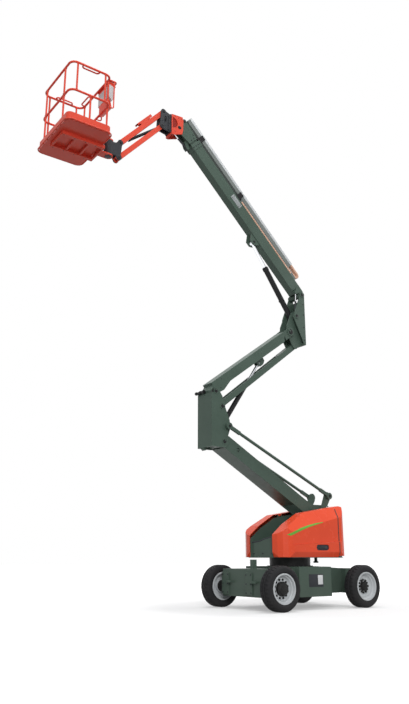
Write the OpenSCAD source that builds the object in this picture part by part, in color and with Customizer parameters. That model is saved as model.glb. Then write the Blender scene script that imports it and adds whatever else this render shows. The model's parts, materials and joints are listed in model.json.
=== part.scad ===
// Articulating boom lift: four-wheel chassis, slewing turret, two parallel-linkage arms,
// telescopic boom, jib and work platform. Millimetres, +X towards the platform, +Z up,
// origin on the ground under the slew axis.

/* [Wheels] */
// Distance between the front and rear axles
wheelbase = 1910; // [1850:10:2100]
// Distance between the tyre centres of one axle
track = 1600; // [1580:10:1700]
// Outer radius of a tyre
tyre_r = 355; // [345:5:370]
// Width of a tyre
tyre_w = 240; // [220:5:250]
// Radius of the rim under the tyre's bead
rim_r = 224; // [215:1:235]
// King pin's distance inboard of the tyre centre
kingpin_in = 172; // [165:1:180]

/* [Chassis] */
// Height of the chassis belly above the ground
belly_z = 205; // [190:5:230]
// Height of the chassis deck above the ground
deck_z = 685; // [670:5:700]
// Width of the centre body between the wheels
body_w = 1400; // [1300:10:1450]
// Front end of the centre body
body_front = 440; // [400:5:470]
// Rear end of the centre body, behind the slew axis
body_rear = 305; // [280:5:340]
// Width of the front axle box
front_box_w = 1150; // [1050:10:1160]
// Width of the rear neck, narrow enough for the steered tyres
neck_w = 800; // [700:10:840]
// Outer radius of the slew ring
slew_r = 360; // [330:5:380]
// Radius of the tie-down holes
tiedown_r = 25; // [18:1:30]

/* [Turret] */
// Height of the turret's base plate above the ground
turret_z = 830; // [820:5:850]
// Front face of the turret
turret_front = 670; // [640:5:700]
// Tail radius of the turret
tail_r = 990; // [960:5:1010]
// Half width across the hoods
hood_hw = 605; // [590:5:640]
// Half width of the centre slot between the hoods
slot_hw = 300; // [295:1:315]
// Thickness of a hood's shell
hood_t = 10; // [6:1:14]
// Highest point of the hoods
hood_top = 1730; // [1700:5:1760]

/* [Lower arm] */
// Lower arm's angle above level
arm1_ang = 24.66; // [10:0.5:40]
// Lower arm's length between its pivots
arm1_len = 2564; // [2400:10:2700]
// Lower arm's half width
arm1_hw = 180; // [165:1:182]
// Lower arm's depth
arm1_d = 225; // [200:5:250]

/* [Upper arm] */
// Upper arm's angle above level
arm2_ang = 37.6; // [25:0.5:50]
// Upper arm's length between its pivots
arm2_len = 2355; // [2200:10:2500]
// Upper arm's half width
arm2_hw = 130; // [120:1:135]
// Upper arm's depth
arm2_d = 172; // [150:2:190]

/* [Boom] */
// Boom's angle above level
boom_ang = 44; // [30:1:60]
// Length of the boom's outer tube
boom_len = 3600; // [3400:10:3700]
// Boom's half width
boom_hw = 80; // [75:1:84]
// Boom's depth
boom_d = 235; // [220:5:245]
// Wall of the boom's tubes
boom_t = 8; // [6:1:10]
// Gap between the boom's two tubes, filled by wear pads
pad_gap = 10; // [8:1:14]

/* [Jib] */
// Jib's angle above level
jib_ang = -48.5; // [-60:0.5:-30]
// Jib's length between its pivots
jib_len = 1323; // [1200:10:1400]
// Depth of a jib link
jib_d = 90; // [80:2:96]

/* [Platform] */
// Length of the platform along the boom
plat_l = 790; // [740:10:900]
// Width of the platform
plat_w = 1180; // [1100:10:1400]
// Height of the guard rail above the platform floor
rail_h = 1130; // [1100:10:1150]
// Radius of the rail tubes
rail_r = 19; // [16:1:22]
// Height of the toe boards
toe_h = 150; // [120:5:170]

/* [Hidden] */
$fn = 48;
// Running gap at pins, glands and other close fits
fit = 0.3;
// Side gap between a hinged piece and the plates that hold it
side_gap = 6;
eps = 0.5;

// Paint and material colours
green = [0.30, 0.35, 0.32];
orange = [0.92, 0.32, 0.20];
coral = [0.90, 0.35, 0.28];
charcoal = [0.22, 0.23, 0.25];
black = [0.10, 0.10, 0.11];
steel = [0.75, 0.77, 0.78];
grey = [0.62, 0.65, 0.65];
sand = [0.85, 0.68, 0.58];

// Plane geometry in the vertical X-Z plane
function turn(v, a) = [v[0] * cos(a) - v[1] * sin(a), v[0] * sin(a) + v[1] * cos(a)];
function dir(a) = [cos(a), sin(a)];
function slope(a, b) = atan2(b[1] - a[1], b[0] - a[0]);
function local(o, a, s, t) = o + turn([s, t], a);

// Pivots of the lower linkage
arm1_pivot = [-735, 1666];
rod1_offset = [-65, 264];
rod1_pivot = arm1_pivot + rod1_offset;
arm1_head = arm1_pivot + arm1_len * dir(arm1_ang);
rod1_head = arm1_head + rod1_offset;

// Pivots of the upper linkage, on the mid knuckle and on the top knuckle
arm2_offset = [180, 863];
rod2_offset = [37, 611];
arm2_pivot = arm1_head + arm2_offset;
rod2_pivot = arm1_head + rod2_offset;
arm2_dir = 180 - arm2_ang;
arm2_head = arm2_pivot + arm2_len * dir(arm2_dir);
rod2_head = rod2_pivot + arm2_len * dir(arm2_dir);

// Pivots on the top knuckle and along the boom
boom_pivot = arm2_head + [-309, 824];
boom_lift_foot = arm2_head + [-146, 341];
boom_lug_at = [1424, -142];
boom_lug = local(boom_pivot, boom_ang, boom_lug_at[0], boom_lug_at[1]);
level_lug = local(boom_pivot, boom_ang, 110, -70);
boom_bottom = -63;
boom_top = boom_bottom + boom_d;
head_reach = boom_len + 390;
nose_drop = -71;
jib_pivot = local(boom_pivot, boom_ang, head_reach, nose_drop);
nose_foot_at = [boom_len, -135];
nose_foot = local(boom_pivot, boom_ang, nose_foot_at[0], nose_foot_at[1]);
nose_lug = jib_pivot + turn([-22, -108], boom_ang);

// Pivots of the jib
jib_up = jib_pivot + [334, 232];
jib_link_offset = [20, -300];
jib_low = jib_up + jib_link_offset;
jib_up_end = jib_up + jib_len * dir(jib_ang);
jib_low_end = jib_up_end + jib_link_offset;

// Platform position, from the jib's end
rotator = [jib_up_end[0] + 200, jib_up_end[1] - 160];
floor_z = jib_up_end[1] - 300;
plat_rear = rotator[0] + 250;
plat_front = plat_rear + plat_l;

// Lift cylinders of the two arms
arm1_lug_at = [230, -140];
arm1_lug = local(arm1_pivot, arm1_ang, arm1_lug_at[0], arm1_lug_at[1]);
lower_lift_foot = [-250, 930];
arm2_lug_at = [1344, 128];
arm2_lug = local(arm2_pivot, arm2_dir, arm2_lug_at[0], arm2_lug_at[1]);

// Pin radii of the linkages, boom and jib
arm1_pin_r = 45;
rod1_pin_r = 28;
arm2_pin_r = 40;
head2_pin_r = 42;
rod2_pin_r = 32;
boom_pin_r = 38;
nose_pin_r = 36;
jib_pin_r = 22;
// Pin radii of the cylinders: foot, then lug
lower_lift_pins = [28, 26];
upper_lift_pins = [rod1_pin_r, 22];
boom_lift_pins = [30, 24];
level_pins = [30, 8];
nose_pins = [14, 9];
jib_lift_pins = [20, 18];

// Extrudes an X-Z outline across Y, centred on y
module across(y, w) {
  translate([0, y, 0]) rotate([90, 0, 0]) linear_extrude(w, center = true) children();
}

// Two mirrored plates of thickness w with their inner faces at +y and -y
module plates(y, w) {
  for (side = [-1, 1]) across(side * (y + w / 2), w) children();
}

// Places children at a point of the X-Z plane with their X axis turned up by a
module at(p, a = 0) {
  translate([p[0], 0, p[1]]) rotate([0, -a, 0]) children();
}

// Round bar across Y
module bar(p, r, w, y = 0) {
  translate([p[0], y, p[1]]) rotate([90, 0, 0]) cylinder(r = r, h = w, center = true);
}

// Two round bars across Y, from +-y0 outwards to +-y1
module twin_bars(p, r, y0, y1) {
  for (side = [-1, 1]) bar(p, r, y1 - y0, side * (y0 + y1) / 2);
}

// Rounded bar outline from p to q
module link_2d(p, q, w) {
  a = slope(p, q);
  n = w / 2 * [-sin(a), cos(a)];
  polygon([p + n, p - n, q - n, q + n]);
  translate(p) circle(w / 2);
  translate(q) circle(w / 2);
}

// Round bar along X from s0 to s1
module along_x(s0, s1, r) {
  translate([s0, 0, 0]) rotate([0, 90, 0]) cylinder(r = r, h = s1 - s0);
}

// Cylinder barrel from its foot eye towards the rod's lug
neck_gap = 14;
module barrel(foot, lug, len, r, rod_r, eye_r, pin_r, eye_w, y = 0) {
  start = eye_r + neck_gap;
  neck = min(eye_r * 0.7, r);
  base = start + neck_gap;
  translate([0, y, 0]) at(foot, slope(foot, lug)) difference() {
    union() {
      bar([0, 0], eye_r, eye_w);
      translate([0, -eye_w / 2, -neck]) cube([start + 1, eye_w, 2 * neck]);
      along_x(start, len, r);
      along_x(len - r * 1.2, len, r * 1.12);
    }
    bar([0, 0], pin_r + fit, eye_w + 2);
    along_x(base, len - r, r * 0.78);
    along_x(len - r - eps, len + 1, rod_r + fit);
  }
}

// Cylinder rod with its piston inside the barrel and its eye at the lug
module rod(foot, lug, inside, r, rod_r, eye_r, pin_r, eye_w, y = 0) {
  len = norm(lug - foot);
  translate([0, y, 0]) at(foot, slope(foot, lug)) difference() {
    union() {
      along_x(inside, len - eye_r * 0.6, rod_r);
      along_x(inside, inside + r, r * 0.78 - fit);
      bar([len, 0], eye_r, eye_w);
    }
    bar([len, 0], pin_r, eye_w + 2);
  }
}

// Tyre about the Y axis
bead_seat = tyre_w / 2 - 22;
rim_lip = 14;
groove_d = 10;
groove_w = 12;
groove_y = 20;
module tyre() {
  side = tyre_w / 2;
  groove_r = tyre_r - groove_d;
  half = [
    [rim_r, bead_seat], [rim_r + rim_lip + 4, bead_seat], [rim_r + rim_lip + 14, side - 6],
    [(rim_r + tyre_r) / 2, side], [tyre_r - 28, side - 10], [tyre_r, side - 38],
    [tyre_r, groove_y + groove_w], [groove_r, groove_y + groove_w], [groove_r, groove_y], [tyre_r, groove_y]
  ];
  color(black) rotate([90, 0, 0]) rotate_extrude($fn = 36) polygon(concat(
    half, [for (i = [len(half) - 1:-1:0]) [half[i][0], -half[i][1]]]
  ));
}

// Wheel about the Y axis, outboard towards +Y
spindle_r = 60;
spindle_end = 20;
disc_y = 6;
disc_t = 14;
dish_step = 58;
flange_t = 12;
stud_r = 11;
module wheel(hub_r) {
  color(steel) rotate([-90, 0, 0]) rotate_extrude($fn = 36) polygon([
    [rim_r - 12, -bead_seat - 10], [rim_r + rim_lip, -bead_seat - 10],
    [rim_r + rim_lip, -bead_seat - fit], [rim_r - fit, -bead_seat - fit],
    [rim_r - fit, bead_seat + fit], [rim_r + rim_lip, bead_seat + fit],
    [rim_r + rim_lip, bead_seat + 10], [rim_r - 10, bead_seat + 10],
    [rim_r - 16, dish_step + 8], [rim_r - 30, dish_step], [rim_r - 38, disc_y + 18], [rim_r - 50, disc_y],
    [hub_r + fit, disc_y], [hub_r + fit, disc_y - disc_t],
    [rim_r - 44, disc_y - disc_t], [rim_r - 12, disc_y - disc_t - 24]
  ]);
}

// Hub about the Y axis: barrel through the disc, flange, studs and the drive's cover
hub_back = 55;
module hub(size, lobes, studs) {
  hub_r = size[0];
  hub_out = size[1];
  flange_r = size[2];
  cap = hub_out * 0.3;
  color(black) rotate([-90, 0, 0]) difference() {
    union() {
      translate([0, 0, -hub_back]) cylinder(r = hub_r, h = hub_back + hub_out - cap);
      translate([0, 0, hub_out - cap - eps]) cylinder(r1 = hub_r - 8, r2 = hub_r * 0.72, h = cap);
      translate([0, 0, disc_y]) cylinder(r = flange_r, h = flange_t);
      for (i = [1:studs]) rotate((i + 0.5) * 360 / studs)
        translate([(hub_r + flange_r + stud_r) / 2, 0, disc_y + 4])
          cylinder(r = stud_r, h = flange_t + 14, $fn = 24);
      for (i = [1:lobes]) rotate(i * 360 / lobes)
        translate([hub_r - 8, -hub_r * 0.22, disc_y + 4])
          cube([flange_r - hub_r + 2, hub_r * 0.44, hub_out - cap - disc_y - 16]);
    }
    translate([0, 0, -hub_back - 1]) cylinder(r = spindle_r + fit, h = hub_back + 1 + spindle_end);
  }
}

// Places a wheel's pieces at its corner of the chassis, outboard side outwards
module corner(front, left) {
  y_sign = left ? 1 : -1;
  translate([(front ? 1 : -1) * wheelbase / 2, y_sign * track / 2, tyre_r])
    mirror([0, left ? 0 : 1, 0]) children();
}
hub_front = [112, 100, 162];
hub_rear = [78, 74, 124];

// Chassis
front_plate_x = wheelbase / 2 + 105;
front_top = deck_z - 35;
frame_t = 30;
post_x = 840;
post_w = 80;
beam_t = 200;
rear_face = -wheelbase / 2 + beam_t / 2;
// Ribs of the front plate: right edge and width
front_ribs = [[-front_box_w / 2, 190], [60, 180]];
rib_out = 22;
tiedown_z = 440;
tiedown_out = 50;
tiedown_t = 30;
front_tie_y = 330;
rear_tie_y = 300;
module chassis_frame() {
  color(green) difference() {
    union() {
      translate([-body_rear, -body_w / 2, belly_z]) cube([body_rear + body_front, body_w, deck_z - belly_z]);
      translate([body_front - eps, -front_box_w / 2, belly_z])
        cube([front_plate_x - body_front, front_box_w, front_top - belly_z]);
      translate([post_x - post_w / 2, -post_w / 2, front_top - eps]) cube([post_w, post_w, 150]);
      for (rib = front_ribs) translate([front_plate_x - eps, rib[0], belly_z + 30])
        cube([rib_out, rib[1], front_top - belly_z - 90]);
      for (side = [-1, 1]) translate([front_plate_x, side * front_tie_y, 0]) tiedown(1);
    }
    for (side = [-1, 1]) translate([front_plate_x, side * front_tie_y, 0]) tiedown_bore(1);
    translate([-body_rear + frame_t, -body_w / 2 + frame_t, belly_z - 1])
      cube([body_rear + body_front - 2 * frame_t, body_w - 2 * frame_t, deck_z - belly_z - frame_t + 1]);
    translate([body_front, -front_box_w / 2 + frame_t, belly_z - 1])
      cube([
        front_plate_x - body_front - frame_t, front_box_w - 2 * frame_t, front_top - belly_z - frame_t + 1
      ]);
  }
}

// Neck between the centre body and the steered axle
module rear_neck() {
  color(green) difference() {
    across(0, neck_w) polygon([
      [-body_rear, belly_z + 30], [-body_rear, deck_z],
      [rear_face, front_top], [rear_face, belly_z + 90], [rear_face + 60, belly_z + 30]
    ]);
    translate([rear_face + frame_t, -neck_w / 2 + frame_t, belly_z - 1])
      cube([-rear_face - body_rear - 2 * frame_t, neck_w - 2 * frame_t, front_top - belly_z - frame_t + 1]);
  }
}
// Tie-down lug that lies flat on a plate at x = 0, and its upright hole; out is 1 or -1
module tiedown(out) {
  translate([0, 0, tiedown_z]) linear_extrude(tiedown_t, center = true) union() {
    translate([out * tiedown_out, 0]) circle(tiedown_r + 25);
    translate([out > 0 ? -eps : -tiedown_out + eps, -tiedown_r - 25])
      square([tiedown_out, 2 * tiedown_r + 50]);
  }
}
module tiedown_bore(out) {
  translate([out * tiedown_out, 0, tiedown_z]) cylinder(r = tiedown_r, h = tiedown_t + 2, center = true);
}

// Fixed drive housings that carry the front wheels
module front_axle() {
  inner = front_box_w / 2;
  out = track / 2;
  color(black) for (side = [-1, 1]) translate([wheelbase / 2, 0, tyre_r]) rotate([-side * 90, 0, 0]) {
    translate([0, 0, inner]) cylinder(r = 135, h = 25);
    translate([0, 0, inner]) cylinder(r = 100, h = out - inner - hub_back - fit);
    translate([0, 0, inner]) cylinder(r = spindle_r, h = out - inner + spindle_end - 1);
  }
}

// Steered rear axle: beam, king pin yokes and the steering cylinder's barrel
beam_hw = 510;
kingpin_y = track / 2 - kingpin_in;
kingpin_r = 30;
knuckle_h = 150;
yoke_t = 32;
yoke_r = 56;
steer_arm = 150;
steer_z = tyre_r - 75;
module rear_axle() {
  color(green) translate([-wheelbase / 2, 0, 0]) {
    difference() {
      union() {
        translate([-beam_t / 2, -beam_hw, tyre_r - 121])
          cube([beam_t, 2 * beam_hw, front_top - tyre_r + 121]);
        for (side = [-1, 1], up = [-1, 1])
          translate([0, 0, tyre_r + up * ((knuckle_h + yoke_t) / 2 + side_gap)])
          linear_extrude(yoke_t, center = true) union() {
            translate([0, side * kingpin_y]) circle(yoke_r);
            translate([-yoke_r, side > 0 ? beam_hw - 20 : -kingpin_y])
              square([2 * yoke_r, kingpin_y - beam_hw + 20]);
          }
        for (side = [-1, 1]) translate([0, side * kingpin_y, tyre_r])
          cylinder(r = kingpin_r, h = knuckle_h + 2 * yoke_t + 2 * side_gap, center = true);
        for (side = [-1, 1]) translate([-beam_t / 2, side * rear_tie_y, 0]) tiedown(-1);
        translate([-steer_arm, 0, steer_z]) rotate([90, 0, 0]) cylinder(r = 44, h = 460, center = true);
        for (side = [-1, 1]) translate([-steer_arm, side * 170 - 15, steer_z - 30])
          cube([steer_arm - beam_t / 2 + eps, 30, 60]);
      }
      translate([-steer_arm, 0, steer_z]) rotate([90, 0, 0])
        cylinder(r = steer_rod_r + fit, h = 500, center = true);
      translate([-beam_t / 2 + frame_t, -beam_hw + 60, tyre_r - 122])
        cube([beam_t - 2 * frame_t, 2 * beam_hw - 120, front_top - tyre_r + 122 - frame_t]);
      for (side = [-1, 1]) translate([-beam_t / 2, side * rear_tie_y, 0]) tiedown_bore(-1);
    }
  }
}

// Steering knuckle with its stub axle and arm
steer_rod_r = 20;
module knuckle(left) {
  s = left ? 1 : -1;
  color(black) translate([-wheelbase / 2, 0, tyre_r]) difference() {
    union() {
      translate([0, s * kingpin_y, 0]) cylinder(r = 52, h = knuckle_h, center = true);
      translate([0, s * kingpin_y, 0]) rotate([-s * 90, 0, 0]) {
        cylinder(r = 76, h = kingpin_in - hub_back - fit);
        cylinder(r = spindle_r, h = kingpin_in + spindle_end - 1);
      }
      translate([0, s * kingpin_y, -30]) linear_extrude(26, center = true) union() {
        translate([-steer_arm, 0]) circle(34);
        translate([-steer_arm, -30]) square([steer_arm, 60]);
      }
    }
    translate([0, s * kingpin_y, 0]) cylinder(r = kingpin_r + fit, h = knuckle_h + 2, center = true);
  }
}

// Steering cylinder's through rod with an eye at each end, under the knuckles' arms
module steer_rod() {
  color(steel) translate([-wheelbase / 2 - steer_arm, 0, steer_z]) {
    rotate([90, 0, 0]) cylinder(r = steer_rod_r, h = 2 * kingpin_y - 60, center = true);
    for (side = [-1, 1]) translate([0, side * kingpin_y, 0]) cylinder(r = 34, h = 44, center = true);
  }
}

module slew_ring() {
  color(black) translate([0, 0, deck_z]) difference() {
    cylinder(r = slew_r, h = turret_z - deck_z - fit);
    translate([0, 0, -1]) cylinder(r = slew_r * 0.6, h = turret_z);
  }
}

// Turret
base_t = 30;
rim_t = 8;
wall_t = 14;
tower_y = 186;
tower_t = 26;
rod1_y = 250;
rod1_eye_w = 50;
// Front face of the ballast between the hoods, and the seam between hoods and ballast
block_x = -760;
seam_x = -640;
function turret_side(d) = [
  [turret_front - d, slot_hw], [turret_front - 22 - d, slot_hw + 110 - d / 2],
  [turret_front - 70 - d, slot_hw + 200 - d],
  [turret_front - 140 - d, hood_hw - 45 - d], [turret_front - 240, hood_hw - d], [block_x + 60, hood_hw - d],
  [-tail_r + 190, hood_hw - 45 - d], [-tail_r + 110 + d, hood_hw * 0.74], [-tail_r + 40 + d, hood_hw * 0.5],
  [-tail_r + d, hood_hw * 0.2]
];
function flip(path) = [for (i = [len(path) - 1:-1:0]) [path[i][0], -path[i][1]]];
function turret_plan(d) = concat(turret_side(d), flip(turret_side(d)));
brow = [100, hood_top - 145];
cheek = [turret_front - 220, hood_top - 345];
chin_z = hood_top - 520;
function roof_z(x) = hood_top - (x - block_x) * (hood_top - brow[1]) / (brow[0] - block_x);
wall_drop = 55;
module slot_wall() {
  polygon([
    [block_x + 5, turret_z + eps], [turret_front - 12, turret_z + eps],
    [turret_front - 12, chin_z - wall_drop], cheek - [12, wall_drop],
    brow - [12, wall_drop], [block_x + 5, hood_top - wall_drop]
  ]);
}
module tower_2d() {
  difference() {
    union() {
      polygon([
        [block_x + 5, turret_z + eps], [-200, turret_z + eps], [-330, 1300],
        arm1_pivot + [115, -60], arm1_pivot + [105, 40], rod1_pivot + [75, 10], rod1_pivot + [-72, 0],
        rod1_pivot + [-60, -60], [block_x + 5, arm1_pivot[1] + 34]
      ]);
      translate(rod1_pivot) circle(75);
      translate(arm1_pivot) circle(110);
    }
    translate([block_x - 200 + 5, turret_z]) square([200, hood_top + 5 - turret_z]);
  }
}
module turntable() {
  color(green) {
    translate([0, 0, turret_z]) linear_extrude(base_t) polygon(turret_plan(skirt_in + hood_t + 10));
    translate([0, 0, turret_z]) linear_extrude(rim_t) polygon(turret_plan(skirt_in));
    hinge_seats();
    mirror([0, 1, 0]) hinge_seats();
    plates(slot_hw - wall_t - 3, wall_t) slot_wall();
    plates(tower_y, tower_t) tower_2d();
    translate([turret_front - 26 - skirt_in, 0, 0]) rotate([90, 0, 90]) linear_extrude(14) polygon([
      [-slot_hw + 5, turret_z + eps], [slot_hw - 5, turret_z + eps], [slot_hw - 5, panel_z + 95],
      [60, panel_z + 60], [-60, panel_z + 25], [-slot_hw + 5, panel_z]
    ]);
    bar(arm1_pivot, arm1_pin_r, 2 * (tower_y + 5));
    twin_bars(rod1_pivot, rod1_pin_r, tower_y + tower_t - 5, rod1_y + rod1_eye_w / 2 + 4);
    plates(36, 24) union() {
      translate(lower_lift_foot) circle(58);
      translate([lower_lift_foot[0] - 58, turret_z + base_t - eps])
        square([116, lower_lift_foot[1] - turret_z - base_t]);
    }
    bar(lower_lift_foot, lower_lift_pins[0], 76);
    translate([-640, 0, turret_z - 90]) cylinder(r = 45, h = 30);
    translate([-640, 0, turret_z - 60]) cylinder(r = 28, h = 61);
  }
}

module counterweight() {
  color(orange) difference() {
    intersection() {
      translate([0, 0, turret_z]) linear_extrude(1200) polygon(turret_plan(0));
      across(0, 2 * hood_hw) polygon([
        [seam_x, turret_z + base_t], [seam_x, roof_z(seam_x)], [block_x, hood_top],
        [-tail_r + 180, hood_top - 10], [-tail_r + 90, hood_top - 65], [-tail_r + 40, hood_top - 150],
        [-tail_r + 14, hood_top - 450],
        [-tail_r + 12, belt_z + 110], [-tail_r, belt_z + 60], [-tail_r, turret_z + skirt_h],
        [-tail_r + skirt_in, turret_z + base_t]
      ]);
      both_sides() side_form(0);
    }
    across(0, 2 * slot_hw) polygon([
      [seam_x + 1, 1440], [seam_x + 1, hood_top + 10], [-tail_r - 1, hood_top + 10], [-tail_r - 1, 1440]
    ]);
    translate([block_x, -hood_inner, turret_z]) cube([seam_x - block_x + 1, 2 * hood_inner, hood_top]);
  }
}

// Side form of the turret's left half: chamfered skirt, proud belt, waist,
// and a shoulder that leans in above a crease
skirt_in = 34;
skirt_h = 95;
belt_z = 1065;
belt_rise = 0.067;
belt_out = 12;
crease_z = 1362;
crease_rise = 0.24;
lean = 26;
panel_z = 1085;
module both_sides() {
  union() {
    children();
    mirror([0, 1, 0]) children();
  }
}
module side_form(d) {
  low = turret_z - 1 - 40 * sign(d);
  waist = hood_hw - belt_out - d;
  difference() {
    rotate([90, 0, 90]) linear_extrude(2 * tail_r, center = true) polygon([
      [-1, low], [hood_hw - skirt_in - d, low], [hood_hw - skirt_in - d, turret_z],
      [hood_hw - d, turret_z + skirt_h], [hood_hw - d, hood_top + 20], [-1, hood_top + 20]
    ]);
    across(waist + 50, 100) polygon([
      [-tail_r, belt_z + belt_rise * tail_r], [tail_r, belt_z - belt_rise * tail_r],
      [tail_r, hood_top + 50], [-tail_r, hood_top + 50]
    ]);
    translate([0, waist, crease_z]) rotate([lean, atan(crease_rise), 0])
      translate([-1.5 * tail_r, 0, -20]) cube([3 * tail_r, 400, 900]);
  }
}

// Hood hinge along the straight top edge, on seats that stand out of the slot walls
hood_inner = slot_hw + 3;
hinge_in = 14;
hinge_drop = 30;
hinge_z = roof_z(seam_x) - hinge_drop;
hinge_pin_r = 7;
hinge_r = 14;
hinge_w = 70;
hinge_tilt = -slope([block_x, hood_top], brow);
hinge_s = [90, 580];
module on_hinge() {
  translate([seam_x, hood_inner + hinge_in, hinge_z]) rotate([0, hinge_tilt, 0]) children();
}
module hinge_seats() {
  on_hinge() for (s = hinge_s) {
    along_x(s - hinge_w / 2 - 16, s + hinge_w / 2 + 16, hinge_pin_r);
    for (e = [-1, 1]) translate([s + e * (hinge_w / 2 + 10) - 8, 0, 0]) {
      along_x(0, 16, hinge_r - 2);
      translate([0, -hinge_r + 4, -60]) cube([16, 2 * hinge_r - 8, 60]);
      translate([0, -hinge_in - 18, -60]) cube([16, hinge_in + 18, 46]);
    }
  }
}
module hinge_barrels() {
  on_hinge() for (s = hinge_s) difference() {
    union() {
      along_x(s - hinge_w / 2, s + hinge_w / 2, hinge_r);
      translate([s - hinge_w / 2, -hinge_r + 4, 0]) cube([hinge_w, 2 * hinge_r - 8, hinge_drop - hood_t + 3]);
    }
    along_x(s - hinge_w, s + hinge_w, hinge_pin_r + fit);
  }
}

// Hood shell over one side of the turret, open below, inside and behind
hood_low = turret_z + rim_t + fit;
function hood_profile(d) = [
  [seam_x + 3 - 20 * sign(d), hood_low - 40 * sign(d)],
  [seam_x + 3 - 20 * sign(d), roof_z(seam_x + 3 - 20 * sign(d)) - d],
  brow - [0, d], cheek - [d, d], [turret_front - d, chin_z - d],
  [turret_front - d, hood_low - 40 * sign(d)]
];
module hood_block(d) {
  intersection() {
    across((hood_hw + hood_inner) / 2, hood_hw - hood_inner + 40 * sign(d)) polygon(hood_profile(d));
    translate([0, 0, turret_z - 30]) linear_extrude(1000) polygon(turret_plan(d));
    side_form(d);
    front_skirt(d);
  }
}
// Chamfer under the hood's front
module front_skirt(d) {
  low = turret_z - 1 - 40 * sign(d);
  across(0, 2 * hood_hw) polygon([
    [-tail_r, low], [turret_front - skirt_in - d, low], [turret_front - skirt_in - d, turret_z],
    [turret_front - d, turret_z + skirt_h], [turret_front - d, hood_top + 20], [-tail_r, hood_top + 20]
  ]);
}
latch = [-235, 1000];
latch_w = 210;
latch_r = 48;
module latch_2d(r) {
  link_2d(latch - [latch_w / 2, 0], latch + [latch_w / 2, 0], 2 * r);
}
module hood_shell() {
  color(orange) {
    difference() {
      union() {
        difference() {
          hood_block(0);
          hood_block(hood_t);
        }
        across(hood_hw - hood_t - 8, 18) latch_2d(latch_r + 10);
      }
      across(hood_hw, 32) latch_2d(latch_r);
    }
    hinge_barrels();
  }
}
module hood_left() { hood_shell(); }
module hood_right() { mirror([0, 1, 0]) hood_shell(); }

module power_packs() {
  color(charcoal) for (side = [-1, 1])
    translate([-620, side > 0 ? slot_hw + 20 : -slot_hw - 240, turret_z + base_t]) cube([900, 220, 420]);
}

// Lower arm: box beam whose tail plates rise to the turret pivot
function arm1_axis(s) = -186 + 0.0858 * s;
arm1_wall = 10;
arm1_box = 700;
module lower_arm() {
  up = arm1_d / 2;
  color(green) at(arm1_pivot, arm1_ang) difference() {
    union() {
      across(0, 2 * arm1_hw) polygon([
        [arm1_box - 1, arm1_axis(arm1_box) - up], [arm1_len - 60, arm1_axis(arm1_len - 60) - up],
        [arm1_len - 60, arm1_axis(arm1_len - 60) + up], [arm1_box - 1, arm1_axis(arm1_box) + up]
      ]);
      plates(arm1_hw - 20, 20) union() {
        polygon([
          [-80, 0], [0, -85], [260, arm1_axis(300) - up], [arm1_box, arm1_axis(arm1_box) - up],
          [arm1_box, arm1_axis(arm1_box) + up], [330, arm1_axis(330) + up], [60, 80], [0, 85]
        ]);
        circle(85);
        translate([arm1_len, 0]) circle(95);
        polygon([
          [arm1_len - 70, arm1_axis(arm1_len) - up], [arm1_len, -95],
          [arm1_len + 60, 70], [arm1_len - 70, arm1_axis(arm1_len) + up]
        ]);
      }
      bar([0, 0], 85, 2 * arm1_hw);
      bar([arm1_len, 0], 85, 2 * arm1_hw);
      plates(36, 24) link_2d([0, 0], arm1_lug_at, 100);
      twin_bars([341, -110], 44, arm1_hw - 1, arm1_hw + 5);
      twin_bars([2220, 41], 46, arm1_hw - 1, arm1_hw + 4);
    }
    across(0, 2 * (arm1_hw - arm1_wall)) polygon([
      [arm1_box - 2, arm1_axis(arm1_box) - up + arm1_wall],
      [arm1_len - 100, arm1_axis(arm1_len - 100) - up + arm1_wall],
      [arm1_len - 100, arm1_axis(arm1_len - 100) + up - arm1_wall],
      [arm1_box - 2, arm1_axis(arm1_box) + up - arm1_wall]
    ]);
    bar([0, 0], arm1_pin_r + fit, 2 * arm1_hw + 50);
    bar([arm1_len, 0], arm1_pin_r + fit, 2 * arm1_hw + 50);
  }
}

module lower_tie_rods() {
  color(green) for (side = [-1, 1]) translate([0, side * rod1_y, 0]) at(rod1_pivot, arm1_ang) difference() {
    union() {
      for (s = [0, arm1_len]) bar([s, 0], 60, rod1_eye_w);
      translate([55, -20, -30]) cube([200, 40, 60]);
      translate([arm1_len - 255, -20, -30]) cube([200, 40, 60]);
      translate([250, 0, 0]) rotate([0, 90, 0]) cylinder(r = 27, h = arm1_len - 500);
    }
    for (s = [0, arm1_len]) bar([s, 0], rod1_pin_r + fit, rod1_eye_w + 2);
  }
}

lower_lift_len = 550;
module lower_lift_barrel() {
  color(black) barrel(lower_lift_foot, arm1_lug, lower_lift_len, 52, 32, 52, lower_lift_pins[0], 60);
}
module lower_lift_rod() {
  color(steel) rod(lower_lift_foot, arm1_lug, 230, 52, 32, 46, lower_lift_pins[1], 52);
}

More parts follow.
